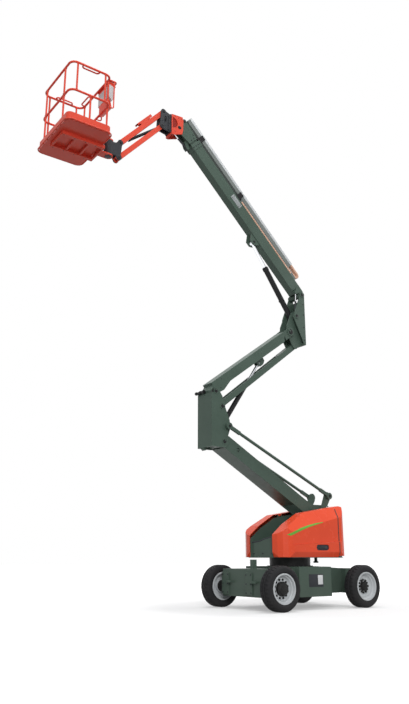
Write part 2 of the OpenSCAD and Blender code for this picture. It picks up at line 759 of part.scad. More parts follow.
// Mid knuckle between the two arms
knuckle1_y = arm1_hw + side_gap;
knuckle1_t = 20;
hose_bar = [292, 868];
module knuckle1_2d() {
  polygon([
    [271, -103], [271, 828], [225, 900], [120, 900], [40, 790], [-20, 600],
    [-115, 380], [-125, 230], [-80, 110], [-85, -40], [-20, -103]
  ]);
}
module mid_knuckle() {
  out = knuckle1_y + knuckle1_t;
  color(green) translate([arm1_head[0], 0, arm1_head[1]]) {
    plates(knuckle1_y, knuckle1_t) knuckle1_2d();
    translate([253, -knuckle1_y - 1, -103]) cube([18, 2 * knuckle1_y + 2, 931]);
    bar([0, 0], arm1_pin_r, 2 * knuckle1_y + 2);
    bar(arm2_offset, arm2_pin_r, 2 * knuckle1_y + 2);
    bar(rod2_offset, rod2_pin_r, 2 * knuckle1_y + 2);
    bar(rod1_offset, rod1_pin_r, 2 * (rod1_y + rod1_eye_w / 2 + 4));
    for (p = [[0, 0], arm2_offset, rod2_offset]) twin_bars(p, 54, out - 1, out + 6);
    bar(hose_bar, 20, out + 60, -out / 2);
    for (y = [-out - 14, -out / 2, 0]) bar(hose_bar, 29, 26, y);
    for (y = [-knuckle1_y + 20, -30]) across(y, 16) polygon([
      [256, 790], [270.5, 790], hose_bar + [18, -8], hose_bar + [8, 17], hose_bar + [-18, 0], [262, 827]
    ]);
    across(-70, 90) polygon([[215, -102], [265, -102], [262, -128], [235, -146], [210, -128]]);
  }
}

// Upper arm: box beam with a gusset at its root and a lug for its cylinder
function arm2_axis(s) = -60 + 0.0255 * s;
arm2_wall = 8;
lug_in = 30;
module upper_arm() {
  up = arm2_d / 2;
  color(green) at(arm2_pivot, arm2_dir) difference() {
    union() {
      across(0, 2 * arm2_hw) polygon([
        [60, arm2_axis(60) + up], [60, arm2_axis(60) - up],
        [arm2_len - 150, arm2_axis(arm2_len) - up], [arm2_len - 260, arm2_axis(arm2_len) + up],
        [450, arm2_axis(450) + up], [230, 95], [120, 80]
      ]);
      bar([0, 0], 75, 2 * (knuckle1_y - side_gap));
      across(0, 2 * arm2_hw) polygon([[0, -75], [90, -110], [90, 70], [0, 70]]);
      plates(arm2_hw - 24, 24) union() {
        translate([arm2_len, 0]) circle(86);
        translate([arm2_len - 200, -84]) square([200, 165]);
      }
      twin_bars([arm2_len, 0], 82, arm2_hw - 1, arm2_hw + 12);
      plates(lug_in, 16) polygon([[1290, 0], [1480, 0], [1470, 150], [1400, 190], [1310, 190], [1280, 130]]);
    }
    across(0, 2 * (arm2_hw - arm2_wall)) polygon([
      [130, arm2_axis(130) - up + arm2_wall], [arm2_len - 149, arm2_axis(arm2_len) - up + arm2_wall],
      [arm2_len - 149, arm2_axis(arm2_len) + up - arm2_wall], [450, arm2_axis(450) + up - arm2_wall],
      [130, arm2_axis(130) + up - arm2_wall]
    ]);
    bar([0, 0], arm2_pin_r + fit, 2 * knuckle1_y + 50);
    bar(arm2_lug_at, upper_lift_pins[1], 120);
    across(0, 2 * lug_in) polygon([[1150, 0], [1560, 0], [1560, 240], [1150, 240]]);
  }
  color(green) bar(arm2_head, head2_pin_r, 2 * arm2_hw + 10);
}

// Upper tie rod: two bars with a slot between them for the lift cylinder
rod2_in = 52;
rod2_t = 26;
module upper_tie_rod() {
  color(green) at(rod2_pivot, arm2_dir) difference() {
    union() {
      plates(rod2_in, rod2_t) link_2d([0, 0], [arm2_len, 0], 104);
      for (s = [0, arm2_len]) bar([s, 0], 52, 2 * rod2_in + 2);
      translate([arm2_len - 500, -rod2_in - 1, -52]) cube([380, 2 * rod2_in + 2, 10]);
    }
    for (s = [0, arm2_len]) bar([s, 0], rod2_pin_r + fit, 2 * (rod2_in + rod2_t) + 2);
  }
}

upper_lift_len = 1120;
module upper_lift_barrel() {
  color(black) barrel(rod1_head, arm2_lug, upper_lift_len, 44, 25, 50, upper_lift_pins[0], 70);
}
module upper_lift_rod() {
  color(steel) rod(rod1_head, arm2_lug, 500, 44, 25, 38, upper_lift_pins[1], 50);
}

// Top knuckle: rear plates that carry the boom, inner lugs that hold the upper linkage
knuckle2_y = 152;
knuckle2_t = 18;
lug2_y = 84;
lug2_t = 18;
module top_knuckle() {
  out = knuckle2_y + knuckle2_t;
  color(green) translate([arm2_head[0], 0, arm2_head[1]]) {
    difference() {
      union() {
        plates(knuckle2_y, knuckle2_t) polygon([
          [-369, -212], [-330, -220], [-60, 320], [-263, 826], [-340, 890], [-369, 839]
        ]);
        plates(lug2_y, lug2_t) union() {
          polygon([
            [-360, -200], [-260, -240], [-145, -300], [-75, -270], [75, 0], [60, 130], [-70, 420], [-360, 560]
          ]);
          circle(80);
          translate(rod2_head - arm2_head) circle(62);
        }
        translate([-369, -knuckle2_y - 1, -212]) cube([16, 2 * knuckle2_y + 2, 940]);
        bar([-330, -190], 28, 2 * knuckle2_y + 2);
      }
      bar([0, 0], head2_pin_r + fit, 400);
    }
    bar(rod2_head - arm2_head, rod2_pin_r, 2 * lug2_y + 2);
    bar(boom_pivot - arm2_head, boom_pin_r, 2 * knuckle2_y + 2);
    for (p = [boom_pivot, boom_lift_foot]) twin_bars(p - arm2_head, 56, out - 1, out + 8);
    twin_bars(boom_lift_foot - arm2_head, boom_lift_pins[0], 50, knuckle2_y + 1);
  }
}

// Boom
module box_tube(s0, s1, hw, low, high, t) {
  difference() {
    translate([s0, -hw, low]) cube([s1 - s0, 2 * hw, high - low]);
    translate([s0 - 1, -hw + t, low + t]) cube([s1 - s0 + 2, 2 * hw - 2 * t, high - low - 2 * t]);
  }
}
fly_hw = boom_hw - boom_t - pad_gap;
fly_low = boom_bottom + boom_t + pad_gap;
fly_high = boom_top - boom_t - pad_gap;
module boom_tube() {
  color(green) at(boom_pivot, boom_ang) difference() {
    union() {
      box_tube(95, boom_len, boom_hw, boom_bottom, boom_top, boom_t);
      box_tube(boom_len - 110, boom_len, boom_hw + 12, boom_bottom - 12, boom_top + 12, 20);
      box_tube(boom_len - 100, boom_len, boom_hw - boom_t + eps,
        fly_low - pad_gap - eps, fly_high + pad_gap + eps, pad_gap - fit + eps);
      plates(boom_hw - 22, 22) union() {
        circle(68);
        polygon([[-40, 56], [10, boom_top], [140, boom_top], [140, boom_bottom], [0, -68]]);
      }
      bar([0, 0], 68, 2 * (knuckle2_y - side_gap));
      plates(48, 20) polygon([
        [1300, boom_bottom + 2], [1600, boom_bottom + 2], [1500, -205], [1400, -205], [1345, -150]
      ]);
      bar(boom_lug_at, boom_lift_pins[1], 130);
      across(level_y, 40) polygon([[60, 20], [180, 20], [140, -100], [90, -100]]);
      across(90, 30) polygon([[60, 20], [180, 20], [180, -40], [60, -40]]);
    }
    bar([0, 0], boom_pin_r + fit, 2 * knuckle2_y);
    translate([-100, -boom_hw + 22, boom_bottom - 1]) cube([60, 2 * boom_hw - 44, boom_d + 2]);
    across(level_y, 26) polygon([[40, 5], [200, 5], [200, -110], [40, -110]]);
  }
}

boom_lift_len = 1120;
module boom_lift_barrel() {
  color(black) barrel(boom_lift_foot, boom_lug, boom_lift_len, 52, 30, 56, boom_lift_pins[0], 90);
}
module boom_lift_rod() {
  color(steel) rod(boom_lift_foot, boom_lug, 560, 52, 30, 44, boom_lift_pins[1] + fit, 84);
}

level_y = (knuckle2_y + lug2_y + lug2_t) / 2;
level_len = 330;
module level_barrel() {
  color(charcoal) barrel(boom_lift_foot, level_lug, level_len, 18, 9, 40, level_pins[0], 24, level_y);
}
module level_rod() {
  color(steel) rod(boom_lift_foot, level_lug, 190, 18, 9, 16, level_pins[1], 16, level_y);
}

// Hose handling on the boom
tube_low = boom_top + 90;
tube_high = tube_low + 138;
tube_hw = 50;
tube_rear = 560;
tube_over = 30;
tube_t = 4;
tray_high = boom_top + 84;
clamp_s = [2285, boom_len - 10];
module chain_tray() {
  color(grey) at(boom_pivot, boom_ang) {
    difference() {
      translate([300, -tube_hw, boom_top]) cube([1900, 2 * tube_hw, tray_high - boom_top]);
      translate([299, -tube_hw + 4, boom_top + 4]) cube([1902, 2 * tube_hw - 8, 200]);
    }
    for (s = clamp_s) difference() {
      translate([s - 50, -tube_hw - 16, s > boom_len - 120 ? boom_top + 12 : boom_top])
        cube([100, 2 * tube_hw + 32, tube_high - 50 - boom_top]);
      translate([s - 51, -tube_hw - 3, boom_top + 24]) cube([102, 2 * tube_hw + 6, 400]);
    }
  }
}

chain_hw = 38;
chain_t = 44;
chain_low = boom_top + 4;
chain_run_top = tray_high - 10;
module chain_run() {
  color(sand) at(boom_pivot, boom_ang)
    translate([420, -chain_hw, chain_low]) cube([1760, 2 * chain_hw, chain_run_top - chain_low]);
}
bend_r = 71;
bend_s = 330;
bend_t = tube_high - tube_t - fit - bend_r;
chain_reach = 2150;
link_pitch = 28;
module energy_chain() {
  color(sand) at(boom_pivot, boom_ang) {
    difference() {
      bar([bend_s, bend_t], bend_r, 2 * chain_hw);
      bar([bend_s, bend_t], bend_r - chain_t, 2 * chain_hw + 2);
      translate([bend_s, -chain_hw - 1, bend_t - bend_r - 1])
        cube([bend_r + 1, 2 * chain_hw + 2, 2 * bend_r + 2]);
      for (a = [100:20:260]) at([bend_s, bend_t], a) link_gap(bend_r);
    }
    difference() {
      translate([bend_s - eps, -chain_hw, bend_t + bend_r - chain_t])
        cube([chain_reach - bend_s, 2 * chain_hw, chain_t]);
      for (i = [1:8]) at([bend_s + i * link_pitch, bend_t], 90) link_gap(bend_r);
    }
    translate([bend_s - eps, -chain_hw, bend_t - bend_r]) cube([60, 2 * chain_hw, chain_t]);
  }
}

// Gap between two links, across the chain's outer face and down both sides, at radius r along X
module link_gap(r) {
  translate([r - 9, -chain_hw - 1, -3]) cube([20, 2 * chain_hw + 2, 6]);
  for (side = [-1, 1]) translate([r - chain_t - 1, side * chain_hw - 5, -3]) cube([chain_t + 10, 10, 6]);
}

// Inner tube with its head
fly_rear = 260;
head_s = boom_len + 40;
head_len = 180;
nose_r = 62;
module boom_fly() {
  color(green) at(boom_pivot, boom_ang) difference() {
    union() {
      box_tube(fly_rear, head_s + head_len, fly_hw, fly_low, fly_high, boom_t - 1);
      box_tube(fly_rear, fly_rear + 90, fly_hw + pad_gap - fit,
        fly_low - pad_gap + fit, fly_high + pad_gap - fit, pad_gap + 2);
      plates(fly_hw - 8, boom_hw - fly_hw + 8) union() {
        polygon([
          [head_s, fly_low - 20], [head_s + 120, fly_low - 45], [head_reach, nose_drop - nose_r],
          [head_reach + 70, nose_drop + 40], [head_reach + 85, fly_high + 20],
          [head_reach + 40, fly_high + 45], [head_s + 60, fly_high + 20], [head_s, fly_high]
        ]);
        translate([head_reach, nose_drop]) circle(nose_r);
      }
      bar([head_reach, nose_drop], nose_r - 5, 2 * boom_hw);
      plates(30, 16) polygon([
        [head_s + 30, fly_low + 2], [head_s + 110, fly_low + 2], [head_s + 90, -120],
        [boom_len + 40, -165], [boom_len - 30, -165], [boom_len - 30, -110],
        [boom_len + 20, -95], [head_s + 10, -90]
      ]);
      translate([head_s + 40, -45, -88]) cube([60, 90, 26]);
      translate([head_s + 200, -30, fly_high - 20]) cube([110, 60, tube_low - fly_high + 20]);
      translate([head_s + 170, -fly_hw, fly_high - 16]) cube([150, 2 * fly_hw, 14]);
      bar(nose_foot_at, nose_pins[0], 64);
      bar([head_reach + 50, fly_high + 12], 38, 2 * boom_hw);
    }
    bar([head_reach, nose_drop], nose_pin_r + fit, 3 * boom_hw);
  }
}
module hose_tube() {
  color(grey) at(boom_pivot, boom_ang)
    box_tube(tube_rear, head_reach + tube_over, tube_hw, tube_low, tube_high, tube_t);
}

nose_len = 250;
module nose_barrel() {
  color(charcoal) barrel(nose_foot, nose_lug, nose_len, 20, 10, 22, nose_pins[0], 50);
}
module nose_rod() {
  color(steel) rod(nose_foot, nose_lug, 108, 20, 10, 18, nose_pins[1], 40);
}

// Jib mount: side plates with a half-round pocket, closed in front
mount_y = boom_hw + side_gap;
mount_t = 18;
mount_x = 172;
mount_arch = 112;
module jib_mount() {
  color(coral) translate([jib_pivot[0], 0, jib_pivot[1]]) {
    difference() {
      plates(mount_y, mount_t) polygon([
        [-65, 248], [mount_x, 229], [mount_x, -193], [120, -193],
        [20, -150], [-60, -120], [-80, -40], [-85, 180]
      ]);
      plates(mount_y + 5, mount_t) intersection() {
        translate([mount_x - mount_t, 60]) circle(mount_arch);
        translate([0, -200]) square([mount_x - mount_t, 400]);
      }
    }
    translate([mount_x - mount_t, -mount_y - 1, -193]) cube([mount_t, 2 * mount_y + 2, 400]);
    bar([0, 0], nose_pin_r, 2 * mount_y + 2);
    twin_bars(nose_lug - jib_pivot, 30, 28, mount_y + 1);
  }
}

cheek_y = 50;
cheek_t = 20;
link_hw = cheek_y - side_gap;
// Ends of the bracket's slot, from the mount's pin
bracket_slot = [[298, 40], [292, 130]];
module jib_bracket() {
  o = jib_pivot;
  color(charcoal) difference() {
    union() {
      translate([o[0] + mount_x, -90, o[1] - 150]) cube([22, 180, 375]);
      plates(cheek_y, cheek_t + 12) translate(o) polygon([
        [mount_x + 21, -150], [mount_x + 60, -120], [mount_x + 60, 195], [mount_x + 21, 225]
      ]);
      plates(cheek_y, cheek_t) union() {
        polygon([
          o + [mount_x + 21, -150], o + [mount_x + 21, 225], jib_up + [30, 50], jib_up + [55, 0],
          jib_low + [55, 0], jib_low + [0, -55]
        ]);
        translate(jib_up) circle(55);
        translate(jib_low) circle(55);
      }
      translate([o[0] + mount_x + 21, -cheek_y - 1, jib_low[1] + 90]) cube([60, 2 * cheek_y + 2, 90]);
      bar(jib_up, jib_pin_r, 2 * cheek_y + 2);
      twin_bars(jib_low, jib_pin_r, 26, cheek_y + 1);
      bar(jib_low, jib_lift_pins[0], 2 * cheek_y);
    }
    plates(cheek_y - 2, cheek_t + 4) link_2d(o + bracket_slot[0], o + bracket_slot[1], 42);
  }
}

// Channel-shaped jib link, open towards the other link; the upper one's back ends at link_cap
link_cap = 500;
module jib_link(p, open_down) {
  wall = 7;
  color(coral) at(p, jib_ang) difference() {
    union() {
      difference() {
        translate([-50, -link_hw, -jib_d / 2]) cube([jib_len + 100, 2 * link_hw, jib_d]);
        translate([-51, -link_hw + wall, open_down ? -jib_d : -jib_d / 2 + wall])
          cube([jib_len + 102, 2 * (link_hw - wall), jib_d * 1.5 - wall]);
        if (open_down) translate([link_cap, -link_hw + wall, 0]) cube([jib_len, 2 * (link_hw - wall), jib_d]);
      }
      for (e = [0, jib_len]) twin_bars([e, 0], 34, 26, link_hw - 1);
    }
    for (e = [0, jib_len]) bar([e, 0], jib_pin_r + fit, 2 * link_hw + 2);
  }
}
// Flat hose guide on two webs along the upper link's back
guide_s = [290, 700];
guide_low = jib_d / 2 + 27;
guide_h = 30;
module hose_guide() {
  foot = jib_d / 2 - 1;
  box_tube(guide_s[0], guide_s[1], link_hw, guide_low, guide_low + guide_h, 4);
  plates(link_hw - 8, 8) polygon([
    [453, foot], [630, foot], [640, guide_low + 1], [guide_s[0], guide_low + 1],
    [guide_s[0], foot + 8], [440, foot + 8]
  ]);
}
module jib_upper_link() {
  jib_link(jib_up, true);
  color(coral) at(jib_up, jib_ang) hose_guide();
}
module jib_lower_link() { jib_link(jib_low, false); }

jib_lift_len = 860;
module jib_lift_barrel() {
  color(black) barrel(jib_low, jib_up_end, jib_lift_len, 27, 15, 34, jib_lift_pins[0], 44);
}
module jib_lift_rod() {
  color(steel) rod(jib_low, jib_up_end, 280, 27, 15, 30, jib_lift_pins[1], 40);
}

// Jib head with the platform's rotary drive
rotor_r = 82;
rotor_h = 270;
rotor_pin_r = 30;
module jib_head() {
  x = rotator[0];
  z = rotator[1];
  color(charcoal) difference() {
    union() {
      plates(cheek_y, cheek_t) union() {
        translate(jib_up_end) circle(52);
        translate(jib_low_end) circle(52);
        polygon([
          jib_up_end + [0, 52], [x - rotor_r - 30, z + rotor_h / 2 - 10], [x - 20, z + rotor_h / 2 - 20],
          [x - 20, z - rotor_h / 2 + 10], [x - rotor_r - 30, z - rotor_h / 2 + 10],
          jib_low_end + [30, -42], jib_low_end + [-52, 0], jib_low_end + [-30, 60],
          jib_up_end + [-30, -60], jib_up_end + [-52, 0]
        ]);
      }
      translate([x, 0, z - rotor_h / 2]) cylinder(r = rotor_r, h = rotor_h);
      twin_bars(jib_up_end, jib_pin_r, 26, cheek_y + 1);
      bar(jib_low_end, jib_pin_r, 2 * cheek_y + 2);
    }
    translate([x, 0, z - 200]) cylinder(r = rotor_pin_r + fit, h = 400);
  }
}

// Bracket plate behind the platform and the bearers under its floor
plate_hw = 150;
plate_h = 420;
bearer = 60;
bearer_y = 220;
module platform_support() {
  x = rotator[0];
  z = rotator[1];
  h = rotor_h / 2 + fit;
  plate_x = plat_rear - 60;
  color(coral) {
    for (level = [z + h, z - h - 24]) translate([0, 0, level]) linear_extrude(24) union() {
      translate([x, 0]) circle(rotor_r);
      translate([x, -rotor_r]) square([plate_x - x + 1, 2 * rotor_r]);
    }
    translate([x, 0, z - h - 1]) cylinder(r = rotor_pin_r, h = 2 * h + 2);
    translate([plate_x, -plate_hw, floor_z - bearer]) cube([24, 2 * plate_hw, plate_h]);
    for (side = [-1, 1]) translate([plate_x + 1, side * bearer_y - bearer / 2, floor_z - bearer])
      cube([plat_l - 20, bearer, bearer]);
    translate([plate_x + 1, -bearer_y - bearer / 2, floor_z - bearer])
      cube([30, 2 * bearer_y + bearer, bearer]);
    for (side = [-1, 1]) across(side * (plate_hw - 20), 16) polygon([
      [plate_x + 20, floor_z + 2 * lip_r + side_gap], [plate_x + 20, floor_z + plate_h - bearer - 10],
      [plate_x + 40, floor_z + plate_h - bearer - 10],
      [plat_rear - fit, floor_z + toe_h - 10], [plat_rear - fit, floor_z + 2 * lip_r + side_gap]
    ]);
    for (t = [0.3, 0.62, 0.94]) translate([plate_x + t * plat_l, -bearer_y, floor_z - bearer + 10])
      cube([36, 2 * bearer_y, 40]);
  }
}

// Platform
floor_t = 12;
deck_up = 3;
deck_in = 62;
deck_bend = 80;
toe_t = 4;
lip_r = 12;
lip_out = 22;
lip_tabs = 6;
module platform_floor() {
  lip_y = plat_w / 2 + lip_out;
  color(coral) {
    difference() {
      deck_block(0, floor_z, toe_h);
      deck_block(toe_t, floor_z + floor_t, toe_h);
    }
    deck_block(deck_in, floor_z + floor_t - eps, deck_up + eps);
    rail_loop(plat_rear - lip_out, plat_front + lip_out, -lip_y, lip_y, floor_z + lip_r, lip_r);
    for (i = [0:lip_tabs]) translate([(plat_rear + plat_front) / 2, 0, floor_z]) {
      translate([(i / lip_tabs - 0.5) * (plat_l - 2 * deck_bend), 0, 0]) tabs_across(plat_w);
      translate([0, (i / lip_tabs - 0.5) * (plat_w - 2 * deck_bend), 0]) rotate(90) tabs_across(plat_l);
    }
  }
}
module tabs_across(w) {
  for (side = [-1, 1]) translate([0, side * (w + lip_out) / 2, lip_r])
    cube([30, lip_out + 4, 8], center = true);
}
module deck_block(d, z, h) {
  r = deck_bend - d;
  translate([0, 0, z]) linear_extrude(h) union() {
    translate([plat_rear + deck_bend, -plat_w / 2 + d]) square([plat_l - 2 * deck_bend, plat_w - 2 * d]);
    translate([plat_rear + d, -plat_w / 2 + deck_bend]) square([plat_l - 2 * d, plat_w - 2 * deck_bend]);
    for (x = [plat_rear + deck_bend, plat_front - deck_bend], side = [-1, 1])
      translate([x, side * (plat_w / 2 - deck_bend)]) circle(r);
  }
}

// Closed rail loop with rounded corners at height z
bend = 110;
module rail_loop(x0, x1, y0, y1, z, r) {
  corners = [[x1 - bend, y1 - bend], [x0 + bend, y1 - bend], [x0 + bend, y0 + bend], [x1 - bend, y0 + bend]];
  translate([0, 0, z]) {
    for (x = [x0, x1]) translate([x, y0 + bend, 0]) rotate([-90, 0, 0])
      cylinder(r = r, h = y1 - y0 - 2 * bend, $fn = 24);
    for (y = [y0, y1]) translate([x0 + bend, y, 0]) rotate([0, 90, 0])
      cylinder(r = r, h = x1 - x0 - 2 * bend, $fn = 24);
    for (i = [0:3]) translate(corners[i]) rotate(i * 90)
      rotate_extrude(angle = 90, $fn = 32) translate([bend, 0]) circle(r, $fn = 24);
  }
}
rail_in = 30;
mid_share = 0.53;
loop_r = 13;
loop_w = 300;
loop_out = 75;
guard_out = 150;
guard_y = [30, 470];
guard_leg = 105;
loop_bend = 40;
module platform_rails() {
  x0 = plat_rear + rail_in;
  x1 = plat_front - rail_in;
  y1 = plat_w / 2 - rail_in;
  post_r = rail_r - 3;
  mid_h = rail_h * mid_share;
  color(coral) {
    for (z = [rail_h, mid_h]) rail_loop(x0, x1, -y1, y1, floor_z + z, rail_r);
    for (p = [[x1, -y1 + bend + 40], [x1, y1 - bend - 130], [x0, -y1 + bend], [x0, y1 - bend],
        [x1 - bend, -y1], [x0 + bend, -y1], [(x0 + x1) / 2, y1]])
      translate([p[0], p[1], floor_z + floor_t])
        cylinder(r = post_r, h = (p[1] == y1 ? mid_h : rail_h) - floor_t, $fn = 24);
    for (x = [x0 + bend, x1 - bend]) translate([x, y1, floor_z + mid_h])
      cylinder(r = post_r, h = rail_h - mid_h, $fn = 24);
    for (side = [-1, 1]) hand_loop([(x0 + x1) / 2, side * y1], side > 0 ? -90 : 90);
    hand_loop([x0, -y1 * 0.52], 0);
    console_guard(x0);
  }
}

// Flat hand-hold on the inner side of the top rail, standing out along its own X
module hand_loop(p, a) {
  translate([p[0], p[1], floor_z + rail_h]) rotate(a) tube_hoop(loop_out, loop_w);
}

// Quarter bend of the thin tube about the origin, from its X axis to its Y axis
module tube_bend(r) {
  rotate_extrude(angle = 90, $fn = 32) translate([loop_bend, 0]) circle(r, $fn = 20);
}

// Thin tube bent flat: out along X, across and back
module tube_hoop(out, w) {
  for (side = [-1, 1]) {
    translate([0, side * w / 2, 0]) rotate([0, 90, 0]) cylinder(r = loop_r, h = out - loop_bend, $fn = 20);
    translate([out - loop_bend, side * (w / 2 - loop_bend), 0]) rotate(side > 0 ? 0 : -90) tube_bend(loop_r);
  }
  translate([out, loop_bend - w / 2, 0]) rotate([-90, 0, 0])
    cylinder(r = loop_r, h = w - 2 * loop_bend, $fn = 20);
}

// Hoop round the console at the top rail, on two legs that bend back to the middle rail
module console_guard(x0) {
  top = floor_z + rail_h;
  low = floor_z + rail_h * mid_share;
  leg_r = loop_r - 2;
  translate([x0, (guard_y[0] + guard_y[1]) / 2, top]) rotate(180)
    tube_hoop(guard_out, guard_y[1] - guard_y[0]);
  for (y = guard_y) {
    translate([x0 - guard_leg, y, low + loop_bend]) cylinder(r = leg_r, h = top - low - loop_bend, $fn = 20);
    translate([x0 - guard_leg + loop_bend, y, low + loop_bend]) rotate([90, 0, 0]) rotate(180)
      tube_bend(leg_r);
    translate([x0 - guard_leg + loop_bend, y, low]) rotate([0, 90, 0])
      cylinder(r = leg_r, h = guard_leg - loop_bend, $fn = 20);
  }
}

module console() {
  x = plat_rear + rail_in - rail_r - fit;
  z = floor_z + rail_h;
  y = (guard_y[0] + guard_y[1]) / 2;
  w = guard_y[1] - guard_y[0] - 2 * loop_r - 20;
  color(grey) {
    across(y, w) polygon([
      [x, z - 300], [x, z - 60], [x - 30, z - 25], [x - 95, z - 55], [x - 110, z - 90], [x - 110, z - 300],
      [x - 60, z - 360]
    ]);
    across(y, w - 90) polygon([
      [x, z - 370], [x, z - 299], [x - 60, z - 359], [x - 90, z - 480], [x - 20, z - 520], [x, z - 500]
    ]);
    across(y, w + 12) polygon([
      [x, z - 66], [x, z + 6], [x - 30, z + 2], [x - 104, z - 38], [x - 122, z - 84], [x - 110, z - 96],
      [x - 95, z - 60], [x - 30, z - 30]
    ]);
  }
}

module tyre_front_left() { corner(true, true) tyre(); }
module tyre_front_right() { corner(true, false) tyre(); }
module tyre_rear_left() { corner(false, true) tyre(); }
module tyre_rear_right() { corner(false, false) tyre(); }
module wheel_front_left() { corner(true, true) wheel(hub_front[0]); }
module wheel_front_right() { corner(true, false) wheel(hub_front[0]); }
module wheel_rear_left() { corner(false, true) wheel(hub_rear[0]); }
module wheel_rear_right() { corner(false, false) wheel(hub_rear[0]); }
module hub_front_left() { corner(true, true) hub(hub_front, 0, 12); }
module hub_front_right() { corner(true, false) hub(hub_front, 0, 12); }
module hub_rear_left() { corner(false, true) hub(hub_rear, 6, 6); }
module hub_rear_right() { corner(false, false) hub(hub_rear, 6, 6); }
module knuckle_left() { knuckle(true); }
module knuckle_right() { knuckle(false); }

chassis_frame();
rear_neck();
front_axle();
rear_axle();
slew_ring();
knuckle_left();
knuckle_right();
steer_rod();
tyre_front_left();
tyre_front_right();
tyre_rear_left();
tyre_rear_right();
wheel_front_left();
wheel_front_right();
wheel_rear_left();
wheel_rear_right();
hub_front_left();
hub_front_right();
hub_rear_left();
hub_rear_right();
turntable();
counterweight();
hood_left();
hood_right();
power_packs();
lower_arm();
lower_tie_rods();
lower_lift_barrel();
lower_lift_rod();
mid_knuckle();
upper_arm();
upper_tie_rod();
upper_lift_barrel();
upper_lift_rod();
top_knuckle();
boom_tube();
boom_lift_barrel();
boom_lift_rod();
level_barrel();
level_rod();
chain_tray();
chain_run();
energy_chain();
boom_fly();
hose_tube();
nose_barrel();
nose_rod();
jib_mount();
jib_bracket();
jib_upper_link();
jib_lower_link();
jib_lift_barrel();
jib_lift_rod();
jib_head();
platform_support();
platform_floor();
platform_rails();
console();
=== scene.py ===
import json
import math

import bmesh
import bpy
from mathutils import Matrix, Vector
from mathutils.bvhtree import BVHTree


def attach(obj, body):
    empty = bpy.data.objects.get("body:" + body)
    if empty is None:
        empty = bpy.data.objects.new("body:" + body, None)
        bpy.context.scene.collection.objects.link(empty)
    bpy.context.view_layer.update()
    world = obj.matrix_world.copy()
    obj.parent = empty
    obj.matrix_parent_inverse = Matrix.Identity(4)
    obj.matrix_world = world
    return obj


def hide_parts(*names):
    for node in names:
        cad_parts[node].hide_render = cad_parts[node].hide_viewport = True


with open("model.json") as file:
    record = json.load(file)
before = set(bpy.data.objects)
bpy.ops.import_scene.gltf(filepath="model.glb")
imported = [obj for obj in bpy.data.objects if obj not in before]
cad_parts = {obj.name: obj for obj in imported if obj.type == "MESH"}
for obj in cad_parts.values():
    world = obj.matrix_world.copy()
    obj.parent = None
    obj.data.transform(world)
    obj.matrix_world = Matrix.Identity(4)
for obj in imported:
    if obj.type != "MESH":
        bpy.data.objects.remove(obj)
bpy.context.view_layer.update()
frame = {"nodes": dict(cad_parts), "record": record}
scene = bpy.context.scene
scene.view_settings.view_transform = "Standard"

SIDES = (("left", 1), ("right", -1))
AHEAD, ACROSS, UP = Vector((1, 0, 0)), Vector((0, 1, 0)), Vector((0, 0, 1))
WHITE = (1.0, 1.0, 1.0, 1.0)
# Places of the sockets that a Mix node uses for colours
MIX_SHARE, MIX_UNDER, MIX_OVER, MIX_RESULT = 0, 6, 7, 2
# Low, so that the white studio's reflection doesn't wash the paints out
GLOSS = 0.16


def put(node, values):
    """Sets a node's sockets by their names."""
    for name, value in values.items():
        node.inputs[name].default_value = value


# Camera and studio

def studio_camera():
    """The photograph's own view, from low beside the machine."""
    cam = bpy.data.objects.new("studio_camera", bpy.data.cameras.new("studio_camera"))
    scene.collection.objects.link(cam)
    cam.data.sensor_fit = "VERTICAL"
    cam.data.sensor_height = 24.0
    cam.data.lens = 23.88
    cam.data.clip_end = 200.0
    right = Vector((-0.8118, 0.5839, 0.0))
    up = Vector((0.1638, 0.2278, 0.9598))
    back = Vector((0.5604, 0.7792, -0.2806))
    cam.matrix_world = axes((8.821, 9.665, 0.846), right, up, back)
    scene.camera = cam


def softbox(name, place, aim, size, power):
    lamp = bpy.data.objects.new(name, bpy.data.lights.new(name, "AREA"))
    scene.collection.objects.link(lamp)
    lamp.data.shape = "SQUARE"
    lamp.data.size = size
    lamp.data.energy = power
    lamp.location = place
    lamp.rotation_euler = (Vector(aim) - Vector(place)).to_track_quat("-Z", "Y").to_euler()


def background_rays(tree):
    """1 for a ray that sees the white studio, straight or in a reflection, and 0 for its light."""
    path = tree.nodes.new("ShaderNodeLightPath")
    seen = path.outputs["Is Camera Ray"]
    for kind in ("Is Glossy Ray", "Is Transmission Ray"):
        either = tree.nodes.new("ShaderNodeMath")
        either.operation = "MAXIMUM"
        tree.links.new(seen, either.inputs[0])
        tree.links.new(path.outputs[kind], either.inputs[1])
        seen = either.outputs[0]
    return seen


def white_world():
    """White to look at, with a dimmer fill for light."""
    world = bpy.data.worlds.new("studio_white")
    scene.world = world
    world.use_nodes = True
    tree = world.node_tree
    tree.nodes.clear()
    out = tree.nodes.new("ShaderNodeOutputWorld")
    seen = tree.nodes.new("ShaderNodeBackground")
    put(seen, {"Color": WHITE, "Strength": 1.0})
    fill = tree.nodes.new("ShaderNodeBackground")
    put(fill, {"Color": (0.95, 0.97, 1.0, 1.0), "Strength": 0.32})
    mix = tree.nodes.new("ShaderNodeMixShader")
    tree.links.new(background_rays(tree), mix.inputs["Fac"])
    tree.links.new(fill.outputs[0], mix.inputs[1])
    tree.links.new(seen.outputs[0], mix.inputs[2])
    tree.links.new(mix.outputs[0], out.inputs["Surface"])


